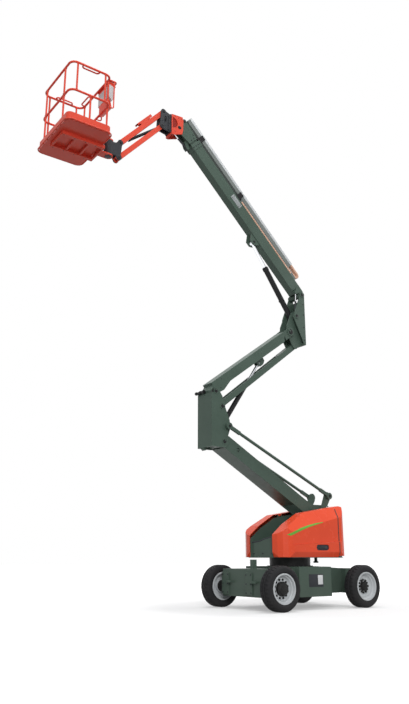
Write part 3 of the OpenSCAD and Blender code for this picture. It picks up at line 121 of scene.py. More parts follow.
def studio_floor():
    """A pale floor that keeps the shadow and fades to white away from the machine."""
    bm = bmesh.new()
    bmesh.ops.create_grid(bm, x_segments=1, y_segments=1, size=60.0)
    mesh = as_mesh(bm, "studio_floor")
    floor = bpy.data.objects.new("studio_floor", mesh)
    scene.collection.objects.link(floor)
    mat = bpy.data.materials.new("studio_floor")
    mat.use_nodes = True
    tree = mat.node_tree
    shader = tree.nodes["Principled BSDF"]
    put(shader, {"Roughness": 0.95, "Specular IOR Level": 0.1, "Emission Color": WHITE})
    place = tree.nodes.new("ShaderNodeTexCoord")
    reach = tree.nodes.new("ShaderNodeVectorMath")
    reach.operation = "LENGTH"
    fade = tree.nodes.new("ShaderNodeMapRange")
    put(fade, {"From Min": 2.2, "From Max": 5.5, "To Min": 0.35, "To Max": 1.0})
    rays = background_rays(tree)
    seen = tree.nodes.new("ShaderNodeMath")
    seen.operation = "MULTIPLY"
    # Darker for the light that it throws back, so that undersides stay in shade
    tone = tree.nodes.new("ShaderNodeMix")
    tone.data_type = "RGBA"
    tone.inputs[MIX_UNDER].default_value = (0.30, 0.30, 0.30, 1.0)
    tone.inputs[MIX_OVER].default_value = (0.62, 0.62, 0.62, 1.0)
    tree.links.new(rays, tone.inputs[MIX_SHARE])
    tree.links.new(tone.outputs[MIX_RESULT], shader.inputs["Base Color"])
    tree.links.new(place.outputs["Object"], reach.inputs[0])
    tree.links.new(reach.outputs["Value"], fade.inputs["Value"])
    tree.links.new(fade.outputs["Result"], seen.inputs[0])
    tree.links.new(rays, seen.inputs[1])
    tree.links.new(seen.outputs[0], shader.inputs["Emission Strength"])
    mesh.materials.append(mat)


# Finishes

class Finish:
    """A principled material whose patterns read Object coordinates."""

    def __init__(self, name, colour, rough, metal=0.0):
        self.mat = bpy.data.materials.new(name)
        self.mat.use_nodes = True
        self.tree = self.mat.node_tree
        self.shader = self.tree.nodes["Principled BSDF"]
        self.flat = (*srgb(colour), 1.0)
        put(self.shader, {
            "Base Color": self.flat, "Roughness": rough, "Metallic": metal, "Specular IOR Level": GLOSS,
        })
        self.place = self.node("ShaderNodeTexCoord").outputs["Object"]
        self.colour = None
        self.normal = None

    def node(self, kind, **values):
        made = self.tree.nodes.new(kind)
        for key, value in values.items():
            setattr(made, key, value)
        return made

    def link(self, out, socket):
        self.tree.links.new(out, socket)

    def noise(self, scale, detail=3.0):
        made = self.node("ShaderNodeTexNoise")
        put(made, {"Scale": scale, "Detail": detail, "Roughness": 0.55})
        self.link(self.place, made.inputs["Vector"])
        return made.outputs["Fac"]

    def span(self, value, low, high, to_low=0.0, to_high=1.0):
        made = self.node("ShaderNodeMapRange")
        put(made, {"From Min": low, "From Max": high, "To Min": to_low, "To Max": to_high})
        self.link(value, made.inputs["Value"])
        return made.outputs["Result"]

    def times(self, a, b):
        made = self.node("ShaderNodeMath", operation="MULTIPLY")
        self.link(a, made.inputs[0])
        self.link(b, made.inputs[1])
        return made.outputs[0]

    def stain(self, mask, colour):
        """Lays another colour over what is there, by a mask."""
        made = self.node("ShaderNodeMix", data_type="RGBA")
        if self.colour is None:
            made.inputs[MIX_UNDER].default_value = self.flat
        else:
            self.link(self.colour, made.inputs[MIX_UNDER])
        made.inputs[MIX_OVER].default_value = (*srgb(colour), 1.0)
        self.link(mask, made.inputs[MIX_SHARE])
        self.colour = made.outputs[MIX_RESULT]

    def mottle(self, colour, scale):
        self.stain(self.span(self.noise(scale), 0.35, 0.75), colour)

    def dust(self, colour, top, most):
        """Dirt that fades upwards from the ground."""
        split = self.node("ShaderNodeSeparateXYZ")
        self.link(self.place, split.inputs["Vector"])
        height = self.span(split.outputs["Z"], 0.0, top, most, 0.0)
        patches = self.span(self.noise(5.0, 6.0), 0.3, 0.75, 0.35, 1.0)
        self.stain(self.times(height, patches), colour)

    def soft_edges(self, radius, worn=None):
        """Rounds sharp edges in the shading and lightens the paint along them."""
        bevel = self.node("ShaderNodeBevel", samples=4)
        bevel.inputs["Radius"].default_value = radius
        self.normal = bevel.outputs["Normal"]
        if worn:
            flat = self.node("ShaderNodeNewGeometry").outputs["Normal"]
            dot = self.node("ShaderNodeVectorMath", operation="DOT_PRODUCT")
            self.link(self.normal, dot.inputs[0])
            self.link(flat, dot.inputs[1])
            edge = self.span(dot.outputs["Value"], 0.995, 0.86)
            patch = self.span(self.noise(14.0, 5.0), 0.42, 0.62, 0.0, 0.22)
            self.stain(self.times(edge, patch), worn)

    def relief(self, height, strength, distance):
        bump = self.node("ShaderNodeBump")
        put(bump, {"Strength": strength, "Distance": distance})
        self.link(height, bump.inputs["Height"])
        if self.normal is not None:
            self.link(self.normal, bump.inputs["Normal"])
        self.normal = bump.outputs["Normal"]

    def sheen_of(self, scale, low, high):
        """Roughness that wanders between two values."""
        wander = self.span(self.noise(scale, 4.0), 0.3, 0.7, low, high)
        self.link(wander, self.shader.inputs["Roughness"])

    def done(self):
        if self.colour is not None:
            self.link(self.colour, self.shader.inputs["Base Color"])
        if self.normal is not None:
            self.link(self.normal, self.shader.inputs["Normal"])
        return self.mat


def srgb(levels):
    """Linear colour from three levels of 0 to 255."""
    shares = [level / 255 for level in levels]
    return tuple(c / 12.92 if c <= 0.04045 else ((c + 0.055) / 1.055) ** 2.4 for c in shares)


def paint(name, colour, shade, worn=None, rough=(0.3, 0.42), edge=0.004, dust=0.0):
    made = Finish(name, colour, rough[0])
    made.mottle(shade, 1.7)
    if dust:
        made.dust((150, 142, 128), 1.0, dust)
    if edge:
        made.soft_edges(edge, worn)
    made.relief(made.noise(420.0, 2.0), 0.06, 0.0006)
    made.sheen_of(9.0, *rough)
    return made.done()


def moulded(name, colour, shade, rough, edge=0.003):
    made = Finish(name, colour, rough[0])
    made.mottle(shade, 3.0)
    if edge:
        made.soft_edges(edge)
    made.relief(made.noise(900.0, 2.0), 0.1, 0.0004)
    made.sheen_of(14.0, *rough)
    return made.done()


def chrome():
    made = Finish("chrome", (214, 216, 220), 0.1, metal=1.0)
    made.soft_edges(0.002)
    made.relief(made.noise(160.0), 0.05, 0.0004)
    made.sheen_of(22.0, 0.1, 0.2)
    return made.done()


def tyre_rubber():
    made = Finish("tyre_rubber", (38, 38, 40), 0.75)
    made.mottle((46, 46, 47), 6.0)
    made.dust((110, 106, 100), 0.4, 0.10)
    made.soft_edges(0.004)
    made.relief(made.noise(240.0, 4.0), 0.25, 0.001)
    made.sheen_of(12.0, 0.62, 0.85)
    return made.done()


PAINTS = {
    "green_paint": dict(colour=(78, 95, 85), shade=(71, 88, 78), worn=(116, 130, 120), dust=0.07),
    "orange_cast": dict(
        colour=(238, 84, 52), shade=(228, 76, 46), worn=(246, 150, 118), rough=(0.26, 0.36), dust=0.04),
    "orange_shell": dict(colour=(240, 86, 54), shade=(232, 80, 50), rough=(0.2, 0.3), edge=0.012, dust=0.04),
    "coral_paint": dict(colour=(228, 84, 64), shade=(218, 77, 58), worn=(244, 160, 138)),
    "charcoal_paint": dict(colour=(58, 60, 64), shade=(50, 52, 56), worn=(120, 122, 124), rough=(0.36, 0.5)),
    "black_paint": dict(
        colour=(27, 28, 29), shade=(22, 23, 24), worn=(80, 81, 82), rough=(0.36, 0.5), dust=0.06),
    "silver_paint": dict(colour=(208, 212, 214), shade=(197, 201, 204), worn=(150, 150, 148), dust=0.08),
    "grey_alloy": dict(
        colour=(122, 128, 125), shade=(114, 120, 117), worn=(160, 164, 162), rough=(0.34, 0.46)),
    "stripe_green": dict(colour=(112, 182, 72), shade=(102, 170, 64), rough=(0.24, 0.34), edge=0.0),
    # Darker red painted on the floor of the jib mount's pocket, as painted shade for the recess
    "pocket_shade_red": dict(colour=(150, 40, 30), shade=(134, 34, 26), worn=(190, 90, 76), rough=(0.4, 0.5)),
}
# Plates and strips a few millimetres thick take no soft edges, which would speckle them
MOULDINGS = {
    "sand_plastic": dict(colour=(225, 184, 160), shade=(212, 168, 142), rough=(0.45, 0.6)),
    "dark_plastic": dict(colour=(60, 62, 66), shade=(52, 54, 58), rough=(0.5, 0.65)),
    "grey_plastic": dict(colour=(205, 206, 206), shade=(192, 194, 195), rough=(0.4, 0.55)),
    "white_plate": dict(colour=(232, 233, 234), shade=(220, 221, 222), rough=(0.32, 0.45), edge=0.0),
    "strip_grey": dict(colour=(206, 209, 210), shade=(194, 197, 199), rough=(0.35, 0.5), edge=0.0),
    "cover_grey": dict(colour=(160, 165, 165), shade=(148, 153, 154), rough=(0.35, 0.5), edge=0.0),
    "link_sand": dict(colour=(226, 186, 162), shade=(212, 168, 142), rough=(0.45, 0.6), edge=0.0),
    # Dark grey for the seal at the tail, and painted shade for the chain tray's slot
    "dark_seal_and_slot_shade": dict(colour=(74, 72, 70), shade=(64, 62, 60), rough=(0.5, 0.6), edge=0.0),
    "stop_red": dict(colour=(206, 30, 26), shade=(188, 24, 22), rough=(0.25, 0.35)),
    "stop_yellow": dict(colour=(236, 196, 40), shade=(222, 182, 34), rough=(0.35, 0.45)),
}
FINISHES = {name: paint(name, **values) for name, values in PAINTS.items()}
FINISHES |= {name: moulded(name, **values) for name, values in MOULDINGS.items()}
FINISHES |= {"chrome": chrome(), "tyre": tyre_rubber()}


# Shapes

def as_mesh(bm, name="shape"):
    mesh = bpy.data.meshes.new(name)
    bm.to_mesh(mesh)
    bm.free()
    return mesh


def axes(point, x, y, z):
    """A place at a point from the directions of its own three axes."""
    return Matrix.Translation(point) @ Matrix((x, y, z)).transposed().to_4x4()


def moved(x, y, z):
    return Matrix.Translation((x, y, z))


def facing(point, way):
    """A place at a point whose Z axis looks along way."""
    return Matrix.Translation(point) @ Vector(way).to_track_quat("Z", "Y").to_matrix().to_4x4()


def side_place(x, z, y):
    """Local X along the machine's X, Z out of its left or right side."""
    side = ACROSS * math.copysign(1.0, y)
    return axes((x, y, z), AHEAD, side.cross(AHEAD), side)


def circle(count, r, shift=0.0):
    """Points round a circle, the first turned on by a share of their step."""
    turns = [math.tau * (i + shift) / count for i in range(count)]
    return [(r * math.cos(a), r * math.sin(a)) for a in turns]


def turned(profile, steps, closed=False):
    """A shape turned about Z from (radius, height) pairs; an open profile ends on the axis."""
    bm = bmesh.new()
    verts = [bm.verts.new((r, 0.0, z)) for r, z in profile]
    edges = [bm.edges.new(pair) for pair in zip(verts, verts[1:])]
    if closed:
        edges.append(bm.edges.new((verts[-1], verts[0])))
    bmesh.ops.spin(
        bm, geom=verts + edges, cent=(0, 0, 0), axis=UP, angle=math.tau, steps=steps, use_merge=True
    )
    bmesh.ops.remove_doubles(bm, verts=bm.verts, dist=1e-6)
    bmesh.ops.recalc_face_normals(bm, faces=bm.faces)
    return as_mesh(bm)


def block(size, edge, segments=2):
    """A box about the origin with rounded edges."""
    bm = bmesh.new()
    bmesh.ops.create_cube(bm, size=1.0)
    bmesh.ops.scale(bm, vec=size, verts=bm.verts)
    bmesh.ops.bevel(
        bm, geom=bm.edges[:], offset=edge, segments=segments, profile=0.5, affect="EDGES", material=-1
    )
    return as_mesh(bm)


def plate(outline, thick, edge=0.0015):
    """A flat plate from (x, y) corners, its back at z = 0, with rounded rims."""
    bm = bmesh.new()
    face = bm.faces.new([bm.verts.new((x, y, 0.0)) for x, y in outline])
    grown = bmesh.ops.extrude_face_region(bm, geom=[face])["geom"]
    top = [g for g in grown if isinstance(g, bmesh.types.BMVert)]
    bmesh.ops.translate(bm, vec=(0, 0, thick), verts=top)
    bmesh.ops.recalc_face_normals(bm, faces=bm.faces)
    rim = [e for e in bm.edges if all(v.co.z > thick * 0.5 for v in e.verts)]
    bmesh.ops.bevel(bm, geom=rim, offset=edge, segments=2, profile=0.5, affect="EDGES", material=-1)
    return as_mesh(bm)


def pill(length, width, steps=8):
    """Corners of a bar outline with round ends, along X."""
    r = width / 2
    corners = []
    for end, start in ((1, -90), (-1, 90)):
        for i in range(steps + 1):
            a = math.radians(start + 180 * i / steps)
            corners.append((end * (length / 2 - r) + r * math.cos(a), r * math.sin(a)))
    return corners


def oblong(length, width):
    """Corners of a plain rectangle about the origin."""
    x, y = length / 2, width / 2
    return [(-x, -y), (x, -y), (x, y), (-x, y)]


def pipe(points, r, sides=12):
    """A round bar along a path, mitred at its bends and closed at both ends."""
    bm = bmesh.new()
    points = [Vector(p) for p in points]
    ways = [(b - a).normalized() for a, b in zip(points, points[1:])]
    rim = bmesh.ops.create_circle(bm, cap_ends=True, radius=r, segments=sides)["verts"]
    bmesh.ops.transform(bm, matrix=facing(points[0], ways[0]), verts=rim)
    faces = bm.faces[:]
    before = ways[0]
    for i, point in enumerate(points[1:]):
        after = ways[min(i + 1, len(ways) - 1)]
        grown = bmesh.ops.extrude_face_region(bm, geom=faces)["geom"]
        rim = [g for g in grown if isinstance(g, bmesh.types.BMVert)]
        faces = [g for g in grown if isinstance(g, bmesh.types.BMFace)]
        bmesh.ops.translate(bm, vec=point - points[i], verts=rim)
        mitre = (before + after).normalized() if i + 1 < len(ways) else before
        for v in rim:
            v.co = v.co - before * ((v.co - point).dot(mitre) / before.dot(mitre))
        before = after
    bmesh.ops.recalc_face_normals(bm, faces=bm.faces)
    return as_mesh(bm)


class Pile:
    """Shapes gathered into one piece."""

    def __init__(self):
        self.bm = bmesh.new()

    def add(self, shape, place=Matrix()):
        first = len(self.bm.verts)
        self.bm.from_mesh(shape)
        self.bm.verts.ensure_lookup_table()
        bmesh.ops.transform(self.bm, matrix=place, verts=self.bm.verts[first:])
        return self

    def fasten(self, shape, spots, way):
        for spot in spots:
            self.add(shape, facing(spot, way))

    def shape(self):
        return as_mesh(self.bm)

    def piece(self, name, body, slot, finish=None, angle=38.0):
        mesh = as_mesh(self.bm, name)
        mesh.shade_smooth()
        mesh.set_sharp_from_angle(angle=math.radians(angle))
        mesh.materials.append(FINISHES[finish or slot])
        obj = bpy.data.objects.new(name, mesh)
        scene.collection.objects.link(obj)
        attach(obj, body)
        return obj


class Beam:
    """Measures on a beam of the machine: s along it, t square to it, y across."""

    def __init__(self, joint, angle):
        self.root = JOINTS[joint]
        a = math.radians(angle)
        self.way = Vector((math.cos(a), 0.0, math.sin(a)))
        self.rise = Vector((-math.sin(a), 0.0, math.cos(a)))

    def at(self, s, t, y):
        point = self.root + s * self.way + t * self.rise
        return Vector((point.x, y, point.z))

    def place(self, s, t, y):
        """Local X along the beam, Y square to it in the side view, Z out of the side that y is on."""
        side = ACROSS * math.copysign(1.0, y)
        return axes(self.at(s, t, y), self.way, side.cross(self.way), side)

    def upright(self, s, t):
        """Local X along the beam, Y across the machine, Z square to both."""
        return axes(self.at(s, t, 0.0), self.way, ACROSS, self.way.cross(ACROSS))


def bolt(r):
    """Hexagon head on its washer, standing on z = 0."""
    washer = turned([(0, 0), (1.5 * r, 0), (1.55 * r, 0.1 * r), (1.45 * r, 0.25 * r), (0, 0.25 * r)], 10)
    head = turned([(0, 0.2 * r), (r, 0.2 * r), (r, 0.85 * r), (0.84 * r, r), (0, r)], 6)
    return Pile().add(washer).add(head).shape()


def bead(start, end, r):
    """A weld run between two points, with its ripples, and its place."""
    start, end = Vector(start), Vector(end)
    length = (end - start).length
    count = max(3, round(length / (r * 1.1)))
    profile = [(0.0, 0.0)]
    for i in range(count):
        profile.append((r * 0.82, length * (i + 0.1) / count))
        profile.append((r, length * (i + 0.55) / count))
    profile.append((0.0, length))
    return turned(profile, 8), facing(start, end - start)


JOINTS = {j["name"]: Vector(j["pos_m"]) for j in frame["record"]["behaviour"]["joints"] if "pos_m" in j}
LOWER_ARM = Beam("lower_arm_lift", 24.66)
UPPER_ARM = Beam("upper_arm_lift", 142.4)
BOOM = Beam("boom_lift", 44.0)
JIB = Beam("jib_lift", -48.5)
BOLT_S, BOLT_M, BOLT_L = bolt(0.006), bolt(0.009), bolt(0.013)


# Wheels

TREAD_ROOT, TREAD_TOP = 0.3445, 0.355
TREAD_COUNT = 34
# Studs on an axle's wheel, the radius of their circle, how far out the hub's cover sits, and its radius
HUBS = {"front": (12, 0.1425, 0.100, 0.062), "rear": (6, 0.1065, 0.074, 0.042)}


def tread_block(y0, y1, shoulder, width, slant):
    """One rubber block over a span of the tyre's round, about the Y axis."""
    outline = [
        (TREAD_ROOT, y0), (TREAD_TOP - 0.0008, y0), (TREAD_TOP, y0 + 0.001), (TREAD_TOP, y1 - 0.0015),
        (TREAD_TOP - 0.001, y1),
    ] + (shoulder or [(TREAD_ROOT, y1 - 0.001)])
    bm = bmesh.new()
    verts = [bm.verts.new((r, y, 0.0)) for r, y in outline]
    edges = [bm.edges.new(pair) for pair in zip(verts, verts[1:] + verts[:1])]
    bmesh.ops.spin(bm, geom=verts + edges, cent=(0, 0, 0), axis=ACROSS, angle=width, steps=3)
    bmesh.ops.holes_fill(bm, edges=bm.edges)
    bmesh.ops.recalc_face_normals(bm, faces=bm.faces)
    for v in bm.verts:
        v.co.rotate(Matrix.Rotation(slant * (v.co.y - y0), 3, "Y"))
    return as_mesh(bm)


def tyre_shape():
    half = [
        (0.224, 0.0), (0.224, 0.097), (0.232, 0.0995), (0.240, 0.099), (0.246, 0.104), (0.251, 0.112),
        (0.256, 0.1162), (0.262, 0.1178), (0.266, 0.1178), (0.268, 0.1196), (0.290, 0.120),
        (0.306, 0.1186), (0.308, 0.1166), (0.313, 0.1160), (0.320, 0.1132), (0.330, 0.1078),
        (0.338, 0.1005), (0.343, 0.0945), (0.3452, 0.0865), (0.3452, 0.0),
    ]
    outline = half + [(r, -y) for r, y in reversed(half[1:-1])]
    pile = Pile().add(turned(outline, 72, closed=True), Matrix.Rotation(-math.pi / 2, 4, "X"))
    pitch = math.tau / TREAD_COUNT
    wing = [(0.3465, 0.0935), (0.3405, 0.1005), (0.3360, 0.1035), (0.3345, 0.1015)]
    shoulder = tread_block(0.032, 0.080, wing, pitch * 0.80, 0.55)
    rib = tread_block(-0.020, 0.020, [], pitch * 0.93, 1.6)
    other_side = Matrix.Rotation(math.pi, 4, "Z")
    for i in range(TREAD_COUNT):
        pile.add(shoulder, Matrix.Rotation(i * pitch, 4, "Y"))
        pile.add(shoulder, Matrix.Rotation((i + 0.5) * pitch, 4, "Y") @ other_side)
        pile.add(rib, Matrix.Rotation((i + 0.25) * pitch, 4, "Y"))
    return pile.shape()


def hub_cover(r):
    return turned([
        (0, 0.009), (r * 0.34, 0.009), (r * 0.38, 0.0055), (r * 0.9, 0.0045), (r, 0.003), (r, -0.002),
        (0, -0.002),
    ], 36)


def wheels():
    tyre = tyre_shape()
    nut = turned([
        (0.0112, 0), (0.0190, 0), (0.0190, 0.010), (0.0165, 0.0125), (0.0112, 0.0125),
    ], 6, closed=True)
    valve = turned([(0, 0), (0.006, 0), (0.005, 0.022), (0.0035, 0.024), (0.0035, 0.034), (0, 0.034)], 12)
    for axle, (studs, stud_r, cover_y, cover_r) in HUBS.items():
        cover = hub_cover(cover_r)
        for side, sign in SIDES:
            name = f"{axle}_{side}"
            body = f"wheel_{name}"
            half_turn = Matrix.Rotation(0.0 if sign > 0 else math.pi, 4, "Z")
            out = Matrix.Translation(JOINTS[f"{body}_spin"]) @ half_turn
            rubber = Pile().add(tyre, out).piece(f"treaded_tyre_{name}", body, "tyre")
            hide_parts(f"tyre_{name}")
            outward = out @ Matrix.Rotation(-math.pi / 2, 4, "X")
            nuts = Pile()
            for x, y in circle(studs, stud_r, 1.5):
                nuts.add(nut, outward @ moved(x, y, 0.018))
            nuts.piece(f"wheel_nuts_{name}", body, "black_paint")
            trim = Pile().add(cover, outward @ moved(0, 0, cover_y))
            for x, y in circle(6, cover_r * 0.66):
                trim.add(BOLT_S, outward @ moved(x, y, cover_y + 0.0045))
            trim.piece(f"hub_cover_{name}", body, "black_paint")
            lean = outward @ moved(0.176, 0, 0.008) @ Matrix.Rotation(0.25, 4, "Y")
            Pile().add(valve, lean).piece(f"valve_stem_{name}", body, "dark_plastic")


# Chassis

AXLE_X, HUB_Z = 0.955, 0.355
SLEW_BOLTS, SLEW_BOLT_R, DECK_Z = 28, 0.395, 0.685
# Front plates: where each starts across the machine, and its width
FRONT_PLATES = ((-0.575, 0.19), (0.06, 0.18))
PLATE_FACE, PLATE_BACK = 1.0815, 1.062
PLATE_TOP, PLATE_LOW = 0.588, 0.237
# Where the weld runs lie, on the body, the neck and the post on the front deck
BODY_FRONT, BODY_REAR, NECK_REAR = 0.442, -0.307, -0.853
NECK_Y = 0.402
POST_REAR, POST_FRONT, POST_Y, POST_FOOT = 0.799, 0.881, 0.041, 0.651


def chassis_bolts():
    bolts = Pile()
    for x, y in circle(SLEW_BOLTS, SLEW_BOLT_R, 0.5):
        bolts.add(BOLT_L, moved(x, y, DECK_Z))
    for y0, width in FRONT_PLATES:
        columns = (y0 + 0.028, y0 + width - 0.028)
        bolts.fasten(BOLT_M, [(PLATE_FACE, y, z) for y in columns for z in (0.268, 0.41, 0.556)], AHEAD)
    for sign in (-1, 1):
        flange = [(AXLE_X + x, sign * 0.600, HUB_Z + z) for x, z in circle(8, 0.118)]
        bolts.fasten(BOLT_M, flange, (0, sign, 0))
        for z, way in ((0.468, 1), (0.242, -1)):
            king_pin = [(x - AXLE_X, sign * 0.628 + y, z) for x, y in circle(4, 0.043, 0.5)]
            bolts.fasten(BOLT_S, king_pin, (0, 0, way))
    bolts.piece("chassis_bolts", "chassis", "charcoal_paint")


def chassis_welds():
    runs = [((BODY_FRONT, -0.572, 0.652), (BODY_FRONT, 0.572, 0.652))]
    for y0, width in FRONT_PLATES:
        runs.append(((PLATE_BACK, y0, PLATE_LOW), (PLATE_BACK, y0 + width, PLATE_LOW)))
    for y in (-0.384, 0.059, 0.241):
        runs.append(((PLATE_BACK, y, 0.24), (PLATE_BACK, y, PLATE_TOP)))
    for y in (-POST_Y, POST_Y):
        runs.append(((POST_REAR, y, POST_FOOT), (POST_FRONT, y, POST_FOOT)))
    runs.append(((POST_FRONT, -POST_Y, POST_FOOT), (POST_FRONT, POST_Y, POST_FOOT)))
    runs.append(((BODY_REAR, -0.398, 0.682), (BODY_REAR, 0.398, 0.682)))
    uprights = (
        (BODY_FRONT, 0.577, 0.21, 0.648), (BODY_REAR, NECK_Y, 0.24, 0.68), (NECK_REAR, NECK_Y, 0.30, 0.645),
    )
    for sign in (-1, 1):
        for x, y, low, high in uprights:
            runs.append(((x, sign * y, low), (x, sign * y, high)))
    welds = Pile()
    for start, end in runs:
        welds.add(*bead(start, end, 0.006))
    welds.piece("chassis_welds", "chassis", "green_paint")


def chassis_fittings():
    chassis_bolts()
    chassis_welds()
    dark = Pile().add(plate(oblong(0.330, 0.204), 0.003), side_place(0.0575, 0.4635, 0.700))
    dark.piece("side_plate_dark", "chassis", "dark_plastic")
    pale = Pile().add(plate(oblong(0.112, 0.150), 0.002, 0.0006), side_place(-0.040, 0.474, 0.703))
    pale.piece("side_plate_white", "chassis", "grey_plastic", "white_plate")


# Turret

STRIPE_TOP = [
    (0.56, 1.208), (0.414, 1.268), (0.248, 1.33), (0.08, 1.375), (-0.09, 1.411), (-0.271, 1.435),
]
STRIPE_LOW = [
    (0.482, 1.184), (0.351, 1.235), (0.218, 1.284), (0.049, 1.34), (-0.122, 1.386), (-0.278, 1.424),
]
SEAL_X, SEAL_WIDTH = -0.660, 0.018
SEAL_LOW, SEAL_HEIGHT = 0.875, 0.80
HOOD_Y, LATCH_Z = 0.5892, 1.0
TOWER_Y = 0.212
# Power packs: their middle and outer face across the machine, and their top
PACK_MID, PACK_Y, PACK_TOP = 0.43, 0.54, 1.28


def along(points, u):
    """The point at share u of a run of points."""
    k = u * (len(points) - 1)
    i = min(int(k), len(points) - 2)
    return Vector(points[i]).lerp(Vector(points[i + 1]), k - i)


def laid_on(node, sign, columns, rows, spot):
    """A thin strip laid on a node's side; spot turns shares of its two ways into (x, z)."""
    mesh = frame["nodes"][node].data
    corners = [v.co.copy() for v in mesh.vertices]
    skin = BVHTree.FromPolygons(corners, [tuple(p.vertices) for p in mesh.polygons])
    bm = bmesh.new()
    bmesh.ops.create_grid(bm, x_segments=columns, y_segments=rows, size=0.5)
    for v in bm.verts:
        x, z = spot(v.co.x + 0.5, v.co.y + 0.5)
        hit = skin.ray_cast(Vector((x, sign * 1.2, z)), Vector((0, -sign, 0)))[0]
        v.co = hit + Vector((0, sign * 0.0016, 0))
    bmesh.ops.recalc_face_normals(bm, faces=bm.faces)
    if sum(f.normal.y for f in bm.faces) * sign < 0:
        bmesh.ops.reverse_faces(bm, faces=bm.faces)
    bmesh.ops.solidify(bm, geom=bm.faces[:], thickness=0.0012)
    return as_mesh(bm)


def hood_stripe(side, sign):
    """The plain green stripe that tapers towards the tail."""
    def spot(u, w):
        return along(STRIPE_LOW, u).lerp(along(STRIPE_TOP, u), 0.12 + 0.78 * w)

    stripe = Pile().add(laid_on(f"hood_{side}", sign, 60, 6, spot))
    stripe.piece(f"hood_stripe_{side}", f"hood_{side}", "orange_shell", "stripe_green", 60.0)


def tail_seal(side, sign):
    """Dark seal along the joint between a hood and the ballast."""
    def spot(u, w):
        return SEAL_X + SEAL_WIDTH * u, SEAL_LOW + SEAL_HEIGHT * w

    seal = Pile().add(laid_on("counterweight", sign, 2, 40, spot))
    seal.piece(f"tail_seal_{side}", "turret", "dark_plastic", "dark_seal_and_slot_shade", 60.0)


def hood_latch(side, sign):
    """Handle in its dark seat, with the lock's barrel beside it."""
    body = f"hood_{side}"
    y = sign * HOOD_Y
    seat = Pile().add(plate(pill(0.302, 0.092), 0.003), side_place(-0.235, LATCH_Z, y))
    seat.piece(f"latch_seat_{side}", body, "dark_plastic")
    lock = turned([
        (0, 0.012), (0.0055, 0.012), (0.006, 0.0105), (0.012, 0.0105), (0.014, 0.008), (0.014, 0), (0, 0),
    ], 24)
    grip = Pile()
    grip.add(plate(pill(0.20, 0.046), 0.0085, 0.003), side_place(-0.25, LATCH_Z, y + sign * 0.003))
    grip.add(plate(pill(0.13, 0.020), 0.0035, 0.0012), side_place(-0.265, LATCH_Z, y + sign * 0.0112))
    grip.add(lock, side_place(-0.118, LATCH_Z, y + sign * 0.002))
    grip.piece(f"latch_grip_{side}", body, "charcoal_paint")


def power_pack_fittings():
    """Covers, filters and caps on the power packs that the hoods hide."""
    dark = Pile()
    louvre = block((0.30, 0.006, 0.010), 0.002)
    for i in range(15):
        dark.add(louvre, moved(-0.42, 0.543, 0.93 + i * 0.020))
    dark.add(block((0.50, 0.15, 0.07), 0.015, 3), moved(-0.18, PACK_MID, 1.312))
    rib = block((0.012, 0.152, 0.012), 0.003)
    for i in range(6):
        dark.add(rib, moved(-0.36 + i * 0.072, PACK_MID, 1.350))
    filler = turned([(0, 0), (0.055, 0), (0.06, 0.006), (0.06, 0.05), (0.05, 0.058), (0, 0.058)], 28)
    dark.add(filler, moved(0.16, PACK_MID, PACK_TOP))
    cap = turned([(0, 0), (0.042, 0), (0.046, 0.006), (0.046, 0.028), (0.036, 0.036), (0, 0.036)], 10)
    dark.add(cap, moved(-0.40, -PACK_MID, PACK_TOP))
    cell = block((0.052, 0.045, 0.085), 0.006)
    for i in range(6):
        dark.add(cell, moved(-0.12 + i * 0.066, -0.40, 1.322))
    dark.piece("pack_covers", "turret", "black_paint")
    filters = Pile()
    can = turned([(0, 0), (0.038, 0), (0.042, 0.005), (0.042, 0.10), (0.036, 0.112), (0, 0.112)], 28)
    filters.fasten(can, [(-0.12, 0.505, 1.18), (0.02, 0.505, 1.18)], -UP)
    filters.piece("hydraulic_filters", "turret", "grey_plastic")
    bolts = Pile()
    for x in (-0.58, -0.25, 0.24):
        for z in (0.90, 1.24):
            for sign in (1, -1):
                bolts.add(BOLT_M, facing((x, sign * PACK_Y, z), (0, sign, 0)))
    bolts.piece("pack_bolts", "turret", "charcoal_paint")


def turret_fittings():
    edge = [(-0.292, 1.0868), (-0.06, 1.1118), (0.06, 1.1468), (0.292, 1.1812)]
    trim = Pile().add(pipe([(0.617, y, z) for y, z in edge], 0.0125))
    trim.piece("slot_edge_trim", "turret", "dark_plastic")
    bolts = Pile()
    for sign in (-1, 1):
        tower = [(-0.70, 1.52), (-0.56, 1.44), (-0.46, 1.34), (-0.70, 1.36)]
        bolts.fasten(BOLT_M, [(x, sign * TOWER_Y, z) for x, z in tower], (0, sign, 0))
    bolts.fasten(BOLT_M, [(0.624, y, 0.90) for y in (-0.24, 0.0, 0.24)], AHEAD)
    bolts.piece("turret_bolts", "turret", "charcoal_paint")
    for side, sign in SIDES:
        hood_stripe(side, sign)
        tail_seal(side, sign)
        hood_latch(side, sign)
    power_pack_fittings()


# Pins

def side_view(joint):
    """A joint's place in the side view, as (x, z)."""
    return JOINTS[joint].x, JOINTS[joint].z


BOOM_LIFT_FOOT, BOOM_LIFT_LUG = (-0.23668, 5.37668), (0.7233, 6.74672)
UPPER_LIFT_FOOT = (1.53016, 2.99978)
JIB_MOUNT_X, JIB_MOUNT_Z = 2.51981, 8.58029
